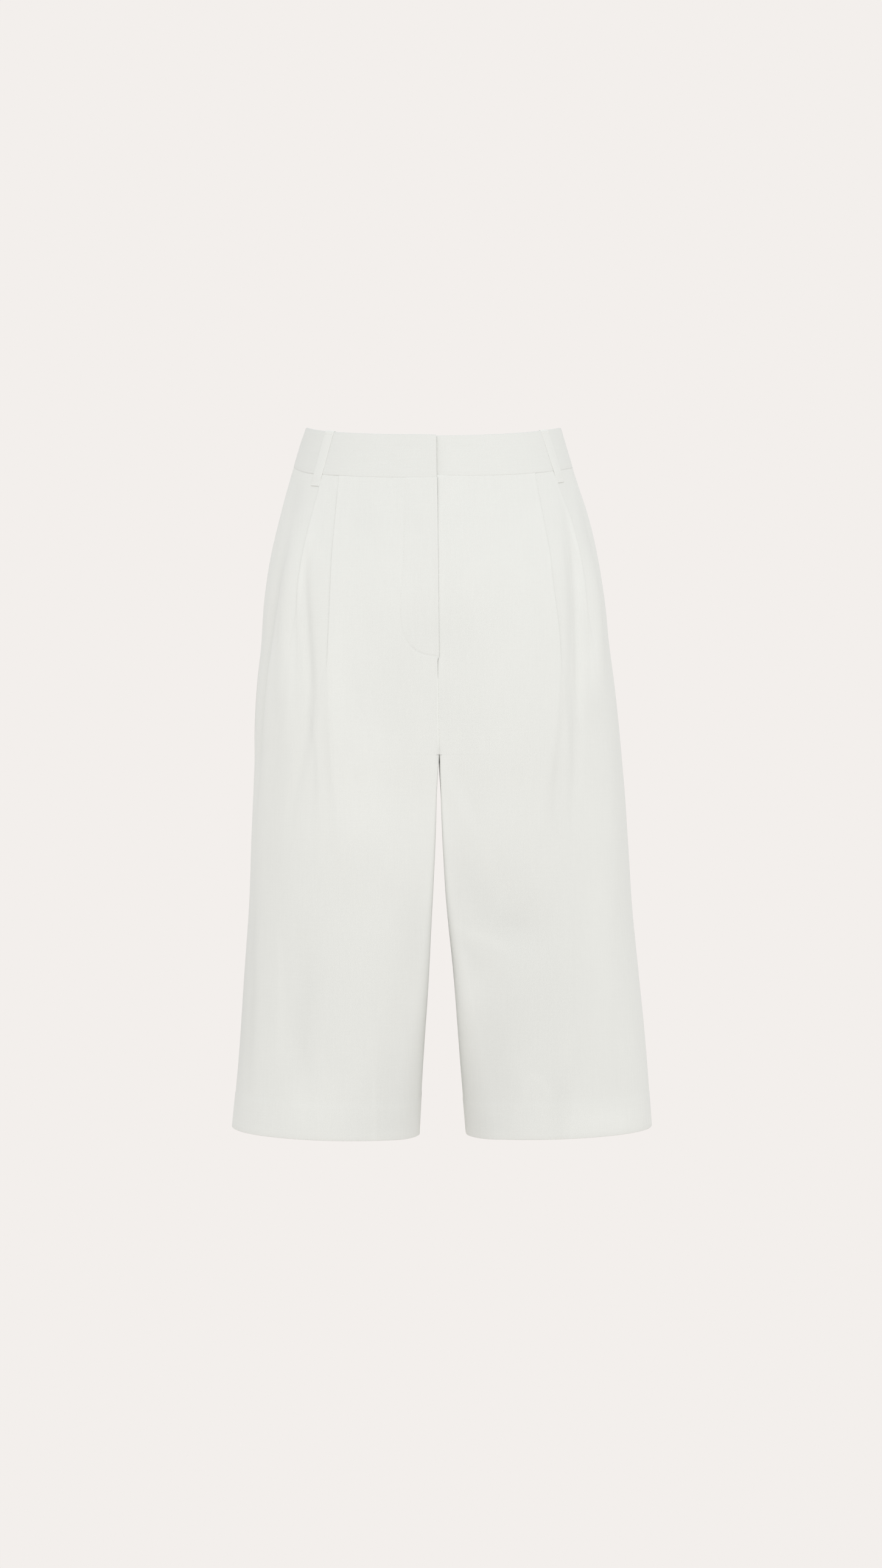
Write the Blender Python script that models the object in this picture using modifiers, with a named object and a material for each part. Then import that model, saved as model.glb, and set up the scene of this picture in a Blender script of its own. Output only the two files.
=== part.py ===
"""Bermuda shorts with two pleats on each front, worn by nobody: the cloth keeps the hollow form of its wearer.

Each piece of cloth that a maker would cut is one object: an open sheet through the garment's level sections,
made into a wall by Solidify. Metres, +Z up, the front faces -Y, and the wearer's right side is -X. The origin
is the middle of the waist, half way down the waistband at the sides.

Two words are used throughout, both in millimetres. A drop is the distance below the waistband's top at the
sides. A depth is the distance inwards from the middle of the main cloth, so what lies outside it is negative.
"""

import math
from collections import namedtuple

import bmesh
import bpy
import numpy as np

MM = 0.001
RIGHT, LEFT = -1, 1

# Driving dimensions, in millimetres.
CLOTH = 1.0
SEAM_GAP = 0.3
LAYER = CLOTH + SEAM_GAP
BAND_HEIGHT = 37.0
BAND_THICK = 2.2
HEM_DROP = 644.4
HEM_TURN_UP = 32.0
CROTCH_DROP = 305.0
ORIGIN_DROP = BAND_HEIGHT / 2

# The waist's top dips at the front and rises a little at the back, and what is below it levels out. The hem rises
# over the outer half of each leg, from this share of the way out, and a little at its inner corner.
FRONT_DIP = 17.0
BACK_RISE = 3.0
WAIST_CURVE = {RIGHT: 1.0, LEFT: 1.45}
LEVEL_DROP = 170.0
HEM_RISE = 2.4
HEM_LEVEL_SHARE = 0.45
HEM_RISE_CURVE = 1.5
HEM_CORNER_RISE = 3.0
HEM_CORNER_WIDTH = 2.5
RISE_DROP = 420.0

# The level sections: the outline from the front, the line of the centre seams and the space between the legs
# there, the depth from the side, how far out from the centre, as a share of the half width, each is fullest, and
# the radius of the corners at which the legs' fronts and backs turn in to their inner sides.
Section = namedtuple(
    "Section", "drop out_right out_left mid gap front back full_front full_back corner_front corner_back"
)
SECTIONS = [
    Section(0, -117, 117, -2.8, 0, -86, 92, 0.14, 0.16, 3, 14),
    Section(40, -129, 129, -2.6, 0, -91, 98, 0.17, 0.22, 3, 14),
    Section(80, -140, 142, -2.3, 0, -98, 108, 0.20, 0.30, 3, 15),
    Section(120, -149, 152, -2.1, 0, -103, 119, 0.24, 0.37, 3, 16),
    Section(160, -155, 159, -1.9, 0, -106, 129, 0.27, 0.42, 3, 18),
    Section(200, -158, 163, -1.6, 0, -107, 134, 0.30, 0.45, 3, 20),
    Section(240, -162, 168, -1.2, 0, -107, 133, 0.32, 0.46, 3, 22),
    Section(280, -164, 172, -0.7, 0, -106, 129, 0.33, 0.46, 3, 24),
    Section(305, -164, 174, -0.3, 1.5, -105, 126, 0.34, 0.46, 3, 25),
    Section(330, -165, 176, -0.5, 4.2, -103, 123, 0.35, 0.46, 3, 26),
    Section(380, -167, 179, -0.3, 7.6, -101, 117, 0.35, 0.46, 4, 27),
    Section(440, -169, 183, 0.3, 13.7, -98, 111, 0.36, 0.46, 7, 28),
    Section(500, -173, 189, 2.2, 21.6, -96, 107, 0.37, 0.46, 12, 30),
    Section(560, -177, 195, 2.7, 29.8, -94, 104, 0.38, 0.46, 20, 32),
    Section(650, -185, 202, 4.0, 42, -91, 101, 0.40, 0.46, 28, 34),
]
SQUARENESS = {"front": 0.60, "back": 0.58}
SIDE_LINE_SHARE = 0.4

# The centre seams: how much they lie in at the hips, and where they leave the front and back for the crotch.
CENTRE_DENT = 0.04
DENT_DROP = 200.0
SEAM_TURNS_IN = {"front": 290.0, "back": 225.0}

# The gap between the legs, and the back's centre seam above it, slants towards the left from front to back, as
# when the garment hangs a little turned. The gap also widens to the back. Both come in between two drops.
GAP_SLANT, GAP_OPENS = 0.050, 0.012
SLANT_DROP, OPEN_DROP = 60.0, 345.0

# The corners: how much of the way's lean they start with, how much more than the seam's gap there is between two
# that have turned in, and how long the curve's handles towards them are.
CORNER_LEAN = 0.6
TURNED_GAP = 1.2
CORNER_HANDLE = 0.4

# Each front's two pleats, as the distance of their fold edges from the centre seam. Below the place where a
# pleat is released it is the line of the soft fold, and the inner one becomes the leg's front crease.
PleatLine = namedtuple("PleatLine", "drop right_inner right_outer left_inner left_outer")
PLEAT_LINES = [
    PleatLine(37, 83.4, 98.4, 90.6, 105.6),
    PleatLine(90, 89.3, 110.3, 99.7, 123.7),
    PleatLine(115, 91.4, 117.4, 103.6, 132.6),
    PleatLine(150, 94.2, 124.2, 106.8, 144.8),
    PleatLine(190, 96.1, 128.1, 109.9, 150.9),
    PleatLine(230, 98.3, 132.3, 112.7, 152.7),
    PleatLine(300, 97.7, 138.7, 115.3, 157.3),
    PleatLine(450, 103.2, 145.2, 120.8, 168.8),
    PleatLine(650, 115.8, 155.8, 113.2, 172.2),
]
INNER_RELEASE = 221.0
OUTER_RELEASE = 172.0

# One pleat's section, by the drop past its release: how far its fold runs back under it, how wide each of its
# two steps is, where the cloth starts down to it, and the depth of each step.
PleatStage = namedtuple("PleatStage", "past fold rise start step")
PLEAT_STAGES = [
    PleatStage(-190, 12.0, 0.0, -1.0, LAYER),
    PleatStage(-10, 3.0, 0.0, -1.0, LAYER),
    PleatStage(10, -3.0, 1.5, -8.0, LAYER),
    PleatStage(50, -7.0, 4.0, -16.0, 0.8),
    PleatStage(120, -9.0, 7.0, -24.0, 0.3),
    PleatStage(430, -12.0, 10.0, -34.0, 0.0),
]

# The largest soft folds: troughs, and with a negative depth ridges, along a line across one side's front.
Fold = namedtuple("Fold", "side top_drop top_out end_drop end_out width depth")
FOLDS = [
    Fold(RIGHT, 110, 111, 330, 117, 11, 3.0),
    Fold(RIGHT, 100, 121, 340, 158, 11, 2.5),
    Fold(LEFT, 110, 120, 330, 120, 11, 3.0),
    Fold(RIGHT, 290, 98, 640, 115, 12, -1.5),
    Fold(LEFT, 290, 115, 640, 113, 12, -1.5),
]

# The panels' rows. Their top leaves room for the thick band's lower corner, because the band slopes, and their
# rows are closer together where the fly's lap ends and where the legs part.
BAND_CORNER_ROOM = 0.8
PANEL_TOP = BAND_HEIGHT + BAND_CORNER_ROOM
FLY_LAP_END, FLY_CLOSED = 216.0, 236.0
PANEL_DROPS = (
    PANEL_TOP, 62, 90, 120, 150, 180, 200, FLY_LAP_END, 226, FLY_CLOSED, 262, 290, 291.5, 293, 295.5, 299, 302.5,
    CROTCH_DROP, 312, 325, 345, 385, 440, 500, 560, HEM_DROP - HEM_TURN_UP, HEM_DROP,
)  # fmt: skip
FRONT_SIDE_COLUMNS = 3
FRONT_CENTRE_COLUMNS = 5
BACK_COLUMNS = 6
END_WALL, END_CORNER = 3.0, 6.0

# The fly: the left front runs under the right one, with a zip, its facing and its shield behind.
FLY_LAP = 6.0
FLY_LAP_RUN = 3.0
FACING_START = 0.8
FACING_WIDTH = 31.0
FACING_TURN = 173.0
FACING_END = 214.0
FLY_LAYER = CLOTH + 0.65
FLY_DROPS = (PANEL_TOP + SEAM_GAP, 62, 90, 120, 150, 173, 180, 193, 200, 206, 211)
SHIELD_EDGES = (-10.0, 28.0)
ZIP_EDGES = (-5.0, 19.0)
SLIDER_EDGES = (8.5, 14.0)
SLIDER_DROPS = (42.0, 51.0)

# The waistband's ends at the centre front, where the right end laps over the left and is held by a hook.
OVERLAP = 1.0
UNDERLAP = 34.0
OVERLAP_RAISE = 1.2
OVERLAP_RISES = (24.0, 46.0)
UNDERLAP_SINKS = (3.0, 18.0)
BAND_LAP_CLEAR = 20.0
RIGHT_END_PLACES = (-OVERLAP, 10.0)
LEFT_END_PLACES = (-UNDERLAP, -18.0, 3.0, 16.0)
BAND_COLUMN_SPACING = 3.0
CLOSURE_THICK = 0.6
HOOK_EDGES, HOOK_DROPS = (7.0, 19.0), (13.0, 24.0)
BAR_EDGES, BAR_DROPS = (5.0, 21.0), (16.0, 21.0)

# The belt loops, by their side, their half and their place as a share of the half width at their two ends.
BeltLoop = namedtuple("BeltLoop", "name side half top_share bottom_share")
BELT_LOOPS = [
    BeltLoop("belt_loop_front_right", RIGHT, "front", 0.815, 0.832),
    BeltLoop("belt_loop_front_left", LEFT, "front", 0.824, 0.848),
    BeltLoop("belt_loop_back_right", RIGHT, "back", 0.65, 0.65),
    BeltLoop("belt_loop_back_left", LEFT, "back", 0.67, 0.67),
    BeltLoop("belt_loop_centre_back", RIGHT, "back", 0.0, 0.0),
]
LOOP_WIDTH = 11.0
LOOP_THICK = 1.6
LOOP_ABOVE = 1.5
LOOP_BELOW = 10.0
LOOP_BOW = 0.5
LOOP_CLEAR = 0.5
LOOP_ROWS, LOOP_COLUMNS = 6, 3

OFF_WHITE = (0.80, 0.81, 0.78, 1.0)
ZIP_WHITE = (0.74, 0.74, 0.71, 1.0)
STEEL = (0.55, 0.55, 0.56, 1.0)
CURVE_SAMPLES = 40
CORNER_SAMPLES = 12


def table(rows):
    """The rows of a table as one array for each named column."""
    return {name: np.array([getattr(row, name) for row in rows], float) for name in rows[0]._fields}


SECTION_COLUMNS = table(SECTIONS)
PLEAT_COLUMNS = table(PLEAT_LINES)
STAGE_COLUMNS = table(PLEAT_STAGES)


def smooth_through(xs, ys, x):
    """A smooth curve through a table's points, with the slopes of each point's neighbours."""
    slopes = np.gradient(ys, xs)
    i = int(np.clip(np.searchsorted(xs, x) - 1, 0, len(xs) - 2))
    step = xs[i + 1] - xs[i]
    t = min(max((x - xs[i]) / step, 0.0), 1.0)
    ends = ys[i] * (2 * t**3 - 3 * t**2 + 1) + ys[i + 1] * (3 * t**2 - 2 * t**3)
    return ends + step * (slopes[i] * (t**3 - 2 * t**2 + t) + slopes[i + 1] * (t**3 - t**2))


def section(drop, name):
    return float(smooth_through(SECTION_COLUMNS["drop"], SECTION_COLUMNS[name], drop))


def ramp(x, start, end):
    """From 0 at start to 1 at end, and level outside them."""
    return min(max((x - start) / (end - start), 0.0), 1.0)


def ease(x, start, end):
    t = ramp(x, start, end)
    return t * t * (3 - 2 * t)


def flat_y(drop, half):
    """How far forward or back a half's cloth is by the centre, before it turns in to the centre seam."""
    return section(drop, half) * (1 - CENTRE_DENT * min(drop / DENT_DROP, 1.0) ** 2)


def centre_seam_y(drop, half):
    """Where a half's centre seam lies, and below the crotch its inseam."""
    middle = (section(drop, "front") + section(drop, "back")) / 2
    if drop >= CROTCH_DROP:
        return middle + (SEAM_GAP / 2 if half == "back" else -SEAM_GAP / 2)
    crotch_y = (section(CROTCH_DROP, "front") + section(CROTCH_DROP, "back")) / 2
    turned = ramp(drop, SEAM_TURNS_IN[half], CROTCH_DROP)
    return crotch_y + (flat_y(drop, half) - crotch_y) * math.sqrt(1 - turned**2)


def gap_edge(drop, side, y, half_gap):
    """Across, where a side's cloth lies by the centre. The gap between the legs slants and widens to the back."""
    behind = y - section(drop, "front")
    slant = GAP_SLANT * ease(drop, SLANT_DROP, CROTCH_DROP)
    opened = GAP_OPENS * ramp(drop, CROTCH_DROP, OPEN_DROP)
    return section(drop, "mid") + slant * behind + side * (half_gap + opened * behind)


def bezier(p0, p1, p2, p3):
    t = np.linspace(0, 1, CURVE_SAMPLES)[:, None]
    return (1 - t) ** 3 * p0 + 3 * t * (1 - t) ** 2 * p1 + 3 * t**2 * (1 - t) * p2 + t**3 * p3


def half_outline(drop, side, half):
    """One quarter of the section, and how much of its end is wall and corner.

    It runs from the side line round the fullest place and nearly flat towards the centre, then round a corner and
    straight back to the centre seam or inseam. Where the seam is less deep than the corner, the corner turns less.
    """
    out = section(drop, "out_left" if side == LEFT else "out_right")
    mid, extreme, radius = section(drop, "mid"), section(drop, half), section(drop, "corner_" + half)
    side_point = np.array([out, SIDE_LINE_SHARE * (section(drop, "front") + section(drop, "back"))])
    fullest = np.array([mid + (out - mid) * section(drop, "full_" + half), extreme])
    near_y, seam_y = flat_y(drop, half), centre_seam_y(drop, half)
    inward = -math.copysign(1.0, extreme)
    lean = CORNER_LEAN * abs(near_y - extreme) / abs(fullest[0] - mid)
    turn = math.acos(max(math.cos(lean) - abs(seam_y - near_y) / radius, 0.0))
    half_gap = section(drop, "gap") / 2 if drop >= CROTCH_DROP else (SEAM_GAP + TURNED_GAP * math.sin(turn)) / 2
    angles = np.linspace(lean, turn, CORNER_SAMPLES)
    corner_y = near_y + inward * radius * (math.cos(lean) - np.cos(angles))
    corner_x = gap_edge(drop, side, corner_y[-1], half_gap) + side * radius * (math.sin(turn) - np.sin(angles))
    corner = np.stack([corner_x, corner_y], -1)
    wall = abs(seam_y - corner[-1, 1])
    square = SQUARENESS[half]
    to_full, to_corner = fullest - side_point, corner[0] - fullest
    arrival = np.array([-side * math.cos(lean), inward * math.sin(lean)])
    to_fullest = bezier(
        side_point,
        side_point + np.array([0, square * to_full[1]]),
        fullest - np.array([square * to_full[0], 0]),
        fullest,
    )
    handle = CORNER_HANDLE * abs(to_corner[0])
    to_corner = bezier(fullest, fullest + np.array([-side * handle, 0]), corner[0] - handle * arrival, corner[0])
    parts = [to_fullest, to_corner[1:]]
    if radius * (turn - lean) > SEAM_GAP:
        parts.append(corner[1:])
    if wall > SEAM_GAP:
        parts.append([[gap_edge(drop, side, seam_y, half_gap), seam_y]])
    return np.concatenate(parts), wall, radius * (turn - lean)


class Outline:
    """One side's whole section at a drop, from the centre front round the side to the centre back."""

    cache = {}

    def __init__(self, drop, side):
        front, front_wall, front_corner = half_outline(drop, side, "front")
        back, back_wall, back_corner = half_outline(drop, side, "back")
        self.points = np.concatenate([front[::-1], back[1:]])
        steps = np.linalg.norm(np.diff(self.points, axis=0), axis=1)
        self.along = np.concatenate([[0.0], np.cumsum(steps)])
        self.side_along = self.along[len(front) - 1]
        self.length = self.along[-1]
        self.front_end = max(front_wall, END_WALL), max(front_corner, END_CORNER)
        self.back_end = max(back_wall, END_WALL), max(back_corner, END_CORNER)

    @classmethod
    def at(cls, drop, side):
        key = (max(drop, 0.0), side)
        if key not in cls.cache:
            cls.cache[key] = cls(*key)
        return cls.cache[key]

    def place(self, along):
        return np.array([np.interp(along, self.along, self.points[:, i]) for i in (0, 1)])

    def along_of(self, out, half, mid, side):
        """The place along the outline that lies this far out from the centre, on its front or back."""
        middle = np.searchsorted(self.along, self.side_along)
        chosen = slice(0, middle + 1) if half == "front" else slice(middle, None)
        outs, alongs = (self.points[chosen, 0] - mid) * side, self.along[chosen]
        order = np.argsort(outs)
        return float(np.interp(out, outs[order], alongs[order]))


def on_form(drop, side, along, depth):
    """A point of the garment in millimetres. Past the centre front or back it goes on along the other side."""
    outline = Outline.at(drop, side)
    if along < 0:
        return on_form(drop, -side, -along - SEAM_GAP, depth)
    if along > outline.length:
        other = Outline.at(drop, -side)
        return on_form(drop, -side, other.length - (along - outline.length) + SEAM_GAP, depth)
    here = outline.place(along)
    before, after = max(along - 0.5, 0.0), min(along + 0.5, outline.length)
    tangent = outline.place(after) - outline.place(before)
    tangent /= np.linalg.norm(tangent)
    inward = side * np.array([-tangent[1], tangent[0]])
    x, y = here + inward * depth
    return np.array([x, y, ORIGIN_DROP - drop - lowered(drop, side, *here)])


def lowered(drop, side, x, y):
    """How far the waist's curve and the hem's rise lower a point at this drop."""
    edge = section(drop, "front" if y < 0 else "back")
    share = min(abs(y / edge), 1.0) ** WAIST_CURVE[side]
    level = 1 - ramp(drop, BAND_HEIGHT, LEVEL_DROP)
    waist = (FRONT_DIP if y < 0 else -BACK_RISE) * share * level**2 * (3 - 2 * level)
    mid, out = section(drop, "mid"), section(drop, "out_left" if side == LEFT else "out_right")
    rise = HEM_RISE * ramp((x - mid) / (out - mid), HEM_LEVEL_SHARE, 1.0) ** HEM_RISE_CURVE
    rise += HEM_CORNER_RISE * math.exp(-max(abs(x - mid) - section(drop, "gap") / 2, 0.0) / HEM_CORNER_WIDTH)
    return waist - rise * ramp(drop, RISE_DROP, HEM_DROP)


def fold_depth(drop, side, out):
    """How deep the large soft folds are at a drop, this far out from the centre seam."""
    total = 0.0
    for fold in FOLDS:
        if fold.side != side or not fold.top_drop < drop < fold.end_drop:
            continue
        t = ramp(drop, fold.top_drop, fold.end_drop)
        away = (out - fold.top_out - (fold.end_out - fold.top_out) * t) / fold.width
        total += fold.depth * math.sin(math.pi * t) ** 0.5 * math.exp(-(away**2))
    return total


def pleat_stage(drop, release):
    return {
        name: float(np.interp(drop - release, STAGE_COLUMNS["past"], STAGE_COLUMNS[name]))
        for name in PleatStage._fields[1:]
    }


def pleat_columns(edge, stage):
    """A pleat's five columns from the side inwards, as (place along the form, depth)."""
    step, fold = stage["step"], stage["fold"]
    return [
        (edge - stage["start"], 2 * step),
        (edge - fold + stage["rise"], 2 * step),
        (edge - fold, step),
        (edge, step),
        (edge - stage["rise"], 0.0),
    ]


def front_row(drop, side):
    """A front's columns at a drop from the side seam to the centre seam, as (place along the form, depth)."""
    outline, mid = Outline.at(drop, side), section(drop, "mid")
    name = "left" if side == LEFT else "right"

    def edge_of(which):
        out = smooth_through(PLEAT_COLUMNS["drop"], PLEAT_COLUMNS[f"{name}_{which}"], drop)
        return outline.along_of(out, "front", mid, side)

    inner_edge, outer_edge = edge_of("inner"), edge_of("outer")
    inner = pleat_columns(inner_edge, pleat_stage(drop, INNER_RELEASE))
    outer = pleat_columns(outer_edge, pleat_stage(drop, OUTER_RELEASE))
    (down_at, down), up_at = inner[0], outer_edge
    outer = [(along, depth + down * ramp(up_at - along, 0, up_at - down_at)) for along, depth in outer]
    seam = outline.side_along - SEAM_GAP / 2
    row = [
        (seam + (outer[0][0] - seam) * t, outer[0][1] * t)
        for t in np.linspace(0, 1, FRONT_SIDE_COLUMNS, endpoint=False)
    ]
    between = ((outer[-1][0] + down_at) / 2, down / 2)
    row += outer + [between] + inner
    start = inner[-1][0]
    if side == RIGHT:
        ends = [(0.0, 0.0)]
    else:
        lapped = 1 - ramp(drop, FLY_LAP_END, (FLY_LAP_END + FLY_CLOSED) / 2)
        run = FLY_LAP_RUN * (1 - lapped)
        under = 2 * FLY_LAYER * (1 - ramp(drop, FLY_LAP_END, FLY_CLOSED))
        ends = [(FLY_LAP_RUN + run, 0.0), (run, under), (-FLY_LAP * lapped, under)]
    row += [(along, 0.0) for along in towards_seam(start, outline.front_end, ends[0][0], FRONT_CENTRE_COLUMNS)]
    row += ends
    folded = []
    for along, depth in row:
        out = (outline.place(max(along, 0.0))[0] - mid) * side
        folded.append((along, depth + fold_depth(drop, side, out)))
    return folded


def towards_seam(start, end_lengths, end, columns):
    """Places after start towards a centre seam at end: over the form, then round its corner and along its wall."""
    wall, corner = end_lengths
    away = math.copysign(1.0, start - end)
    corner_start = end + away * (wall + corner)
    over = np.linspace(start, corner_start, columns + 1)[1:]
    turning = [corner_start - away * corner * t for t in (0.33, 0.67, 1.0)]
    return [*over, *turning, end + away * wall / 2]


def back_row(drop, side):
    outline = Outline.at(drop, side)
    seam = outline.side_along + SEAM_GAP / 2
    places = [seam, *towards_seam(seam, outline.back_end, outline.length, BACK_COLUMNS), outline.length]
    return [(along, 0.0) for along in places]


def panel_rows(row_at, side):
    """A panel from its top to its hem, then up again inside as the hem's turn-up."""
    rows = [[on_form(drop, side, along, depth) for along, depth in row_at(drop, side)] for drop in PANEL_DROPS]
    for drop in (HEM_DROP, HEM_DROP - HEM_TURN_UP):
        rows.append([on_form(drop, side, along, depth + LAYER) for along, depth in row_at(drop, side)])
    return rows


def patch_rows(side, drops, edges_at, depth_at, columns):
    """A flat piece that follows the form, between two edges and at a depth that may change down it."""
    rows = []
    for drop in drops:
        near, far = edges_at(drop)
        rows.append([on_form(drop, side, along, depth_at(drop)) for along in np.linspace(near, far, columns)])
    return rows


def new_material(name, colour, roughness, metallic=0.0):
    material = bpy.data.materials.new(name)
    material.use_nodes = True
    shader = material.node_tree.nodes["Principled BSDF"]
    shader.inputs["Base Color"].default_value = colour
    shader.inputs["Roughness"].default_value = roughness
    shader.inputs["Metallic"].default_value = metallic
    return material


def add_sheet(collection, name, rows, thickness, material):
    """An object whose mesh is a grid through rows of points, with Solidify making it a wall."""
    bm = bmesh.new()
    vertices = [[bm.verts.new(point * MM) for point in row] for row in rows]
    for upper, lower in zip(vertices, vertices[1:]):
        for i in range(len(upper) - 1):
            bm.faces.new((upper[i], upper[i + 1], lower[i + 1], lower[i]))
    bmesh.ops.recalc_face_normals(bm, faces=bm.faces)
    mesh = bpy.data.meshes.new(name)
    bm.to_mesh(mesh)
    bm.free()
    mesh.materials.append(material)
    piece = bpy.data.objects.new(name, mesh)
    collection.objects.link(piece)
    wall = piece.modifiers.new("Cloth wall", "SOLIDIFY")
    wall.thickness = thickness * MM
    wall.offset = 0.0
    wall.use_even_offset = True
    return piece


def band_depth(along, side):
    """The waistband's depth near the centre front, where one end rises over the other."""
    flat = (BAND_THICK - CLOTH) / 2
    if side == RIGHT:
        return flat - OVERLAP_RAISE * (1 - ramp(along, *OVERLAP_RISES))
    under = flat - OVERLAP_RAISE + BAND_THICK + 2 * CLOSURE_THICK + 3 * SEAM_GAP
    return flat + (under - flat) * (1 - ramp(along, *UNDERLAP_SINKS))


def band_places(side):
    """Where the waistband's columns lie along its lower edge: over those of the panels that it is sewn to."""
    fronts = sorted(along for along, _ in front_row(BAND_HEIGHT, side) if along > BAND_LAP_CLEAR)
    spaced = [fronts[0]]
    for along in fronts[1:]:
        if along - spaced[-1] > BAND_COLUMN_SPACING:
            spaced.append(along)
    return spaced + [along for along, _ in back_row(BAND_HEIGHT, side)[1:]]


def add_waistband(collection, name, side, end_places, material):
    """Half of the waistband, from its end at the centre front round the side to the centre back."""
    lower = Outline.at(BAND_HEIGHT, side)
    rows = []
    for drop in (0.0, BAND_HEIGHT):
        shrink = Outline.at(drop, side).length / lower.length
        places = [*end_places, *(along * shrink for along in band_places(side))]
        rows.append([on_form(drop, side, along, band_depth(along, side)) for along in places])
    add_sheet(collection, name, rows, BAND_THICK, material)


def add_belt_loop(collection, loop, material):
    """A belt loop: a flat strip over the waistband, which bows out a little half way down."""
    bottom = BAND_HEIGHT + LOOP_BELOW

    def edges(drop):
        outline, mid = Outline.at(drop, loop.side), section(max(drop, 0.0), "mid")
        if loop.top_share == 0:
            middle = outline.length
        else:
            share = loop.top_share + (loop.bottom_share - loop.top_share) * ramp(drop, 0, bottom)
            out = share * abs(section(max(drop, 0.0), "out_left" if loop.side == LEFT else "out_right") - mid)
            middle = outline.along_of(out, loop.half, mid, loop.side)
        return middle - LOOP_WIDTH / 2, middle + LOOP_WIDTH / 2

    def depth(drop):
        bow = LOOP_BOW * math.sin(math.pi * ramp(drop, 0, bottom))
        return -(CLOTH / 2 + LOOP_CLEAR + LOOP_THICK / 2 + bow)

    drops = np.linspace(-LOOP_ABOVE, bottom, LOOP_ROWS)
    rows = patch_rows(loop.side, drops, edges, depth, LOOP_COLUMNS)
    add_sheet(collection, loop.name, rows, LOOP_THICK, material)


def add_fly(collection, cloth, tape, steel):
    """What is behind the fly: the right front's facing, the zip and its slider, and the shield."""

    def facing_edges(drop):
        turned = ramp(drop, FACING_TURN, FACING_END)
        return FACING_START, FACING_WIDTH * math.sqrt(1 - turned**2)

    def add(name, drops, edges_at, depth, thickness, columns, material):
        rows = patch_rows(RIGHT, drops, edges_at, lambda drop: depth, columns)
        add_sheet(collection, name, rows, thickness, material)

    add("fly_facing", FLY_DROPS, facing_edges, FLY_LAYER, CLOTH, 4, cloth)
    add("zip_tape", FLY_DROPS[:-1], lambda drop: ZIP_EDGES, 3 * FLY_LAYER, CLOTH, 4, tape)
    add("zip_slider", SLIDER_DROPS, lambda drop: SLIDER_EDGES, 2 * FLY_LAYER, CLOTH, 2, steel)
    add("fly_shield", FLY_DROPS[:-1], lambda drop: SHIELD_EDGES, 4 * FLY_LAYER, CLOTH, 5, cloth)


def add_waist_hook(collection, steel):
    """The hook's plate on the band's upper end, and the bar's plate on its lower end."""
    hook = band_depth(0, RIGHT) + BAND_THICK / 2 + SEAM_GAP + CLOSURE_THICK / 2
    bar = hook + CLOSURE_THICK + SEAM_GAP
    plates = (("waist_hook", HOOK_EDGES, HOOK_DROPS, hook), ("waist_bar", BAR_EDGES, BAR_DROPS, bar))
    for name, edges, drops, depth in plates:
        rows = patch_rows(RIGHT, drops, lambda drop: edges, lambda drop: depth, 3)
        add_sheet(collection, name, rows, CLOSURE_THICK, steel)


def main():
    for old in list(bpy.data.objects):
        bpy.data.objects.remove(old)
    collection = bpy.data.collections.new("Bermuda shorts")
    bpy.context.scene.collection.children.link(collection)
    cloth = new_material("cloth", OFF_WHITE, 0.9)
    tape = new_material("zip_tape", ZIP_WHITE, 0.8)
    steel = new_material("steel", STEEL, 0.35, 1.0)

    for word, side in (("right", RIGHT), ("left", LEFT)):
        add_sheet(collection, f"front_{word}", panel_rows(front_row, side), CLOTH, cloth)
        add_sheet(collection, f"back_{word}", panel_rows(back_row, side), CLOTH, cloth)
    add_waistband(collection, "waistband_right", RIGHT, RIGHT_END_PLACES, cloth)
    add_waistband(collection, "waistband_left", LEFT, LEFT_END_PLACES, cloth)
    add_fly(collection, cloth, tape, steel)
    add_waist_hook(collection, steel)
    for loop in BELT_LOOPS:
        add_belt_loop(collection, loop, cloth)


main()
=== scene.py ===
"""Looks of the bermuda shorts: off-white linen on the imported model's form, with pleats and soft creases.

The cloth pieces are thin shells through nearly the same level sections as the solids that they stand for,
with the pleats and the gap between the legs fitted to the photo once more. Lengths are in millimetres
until a mesh is made. A drop is the distance below the waistband's top at the sides. A depth is the
distance inwards from the middle of the main cloth. Along is the way round a section from the centre
front. Across is the way over a panel's cloth from its centre seam, and on a leg from where the cloth
turns in to the inseam.
"""

import math
from collections import namedtuple

import bpy
import numpy as np
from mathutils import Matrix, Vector

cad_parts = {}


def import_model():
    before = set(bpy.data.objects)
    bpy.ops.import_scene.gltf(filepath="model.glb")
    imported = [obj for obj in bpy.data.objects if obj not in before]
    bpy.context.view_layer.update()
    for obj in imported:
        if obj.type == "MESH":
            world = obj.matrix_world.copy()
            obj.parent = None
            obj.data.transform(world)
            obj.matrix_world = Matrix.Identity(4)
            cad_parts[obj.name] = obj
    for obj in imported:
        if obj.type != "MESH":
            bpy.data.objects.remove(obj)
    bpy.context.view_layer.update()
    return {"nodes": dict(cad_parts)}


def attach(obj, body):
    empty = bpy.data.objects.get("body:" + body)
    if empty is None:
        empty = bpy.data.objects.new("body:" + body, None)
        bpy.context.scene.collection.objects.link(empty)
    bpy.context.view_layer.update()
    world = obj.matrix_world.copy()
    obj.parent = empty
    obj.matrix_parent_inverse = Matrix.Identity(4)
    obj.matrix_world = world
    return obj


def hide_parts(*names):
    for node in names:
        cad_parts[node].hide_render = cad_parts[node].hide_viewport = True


MM = 0.001
RIGHT, LEFT = -1, 1

# ---------------------------------------------------------------- the form

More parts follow.
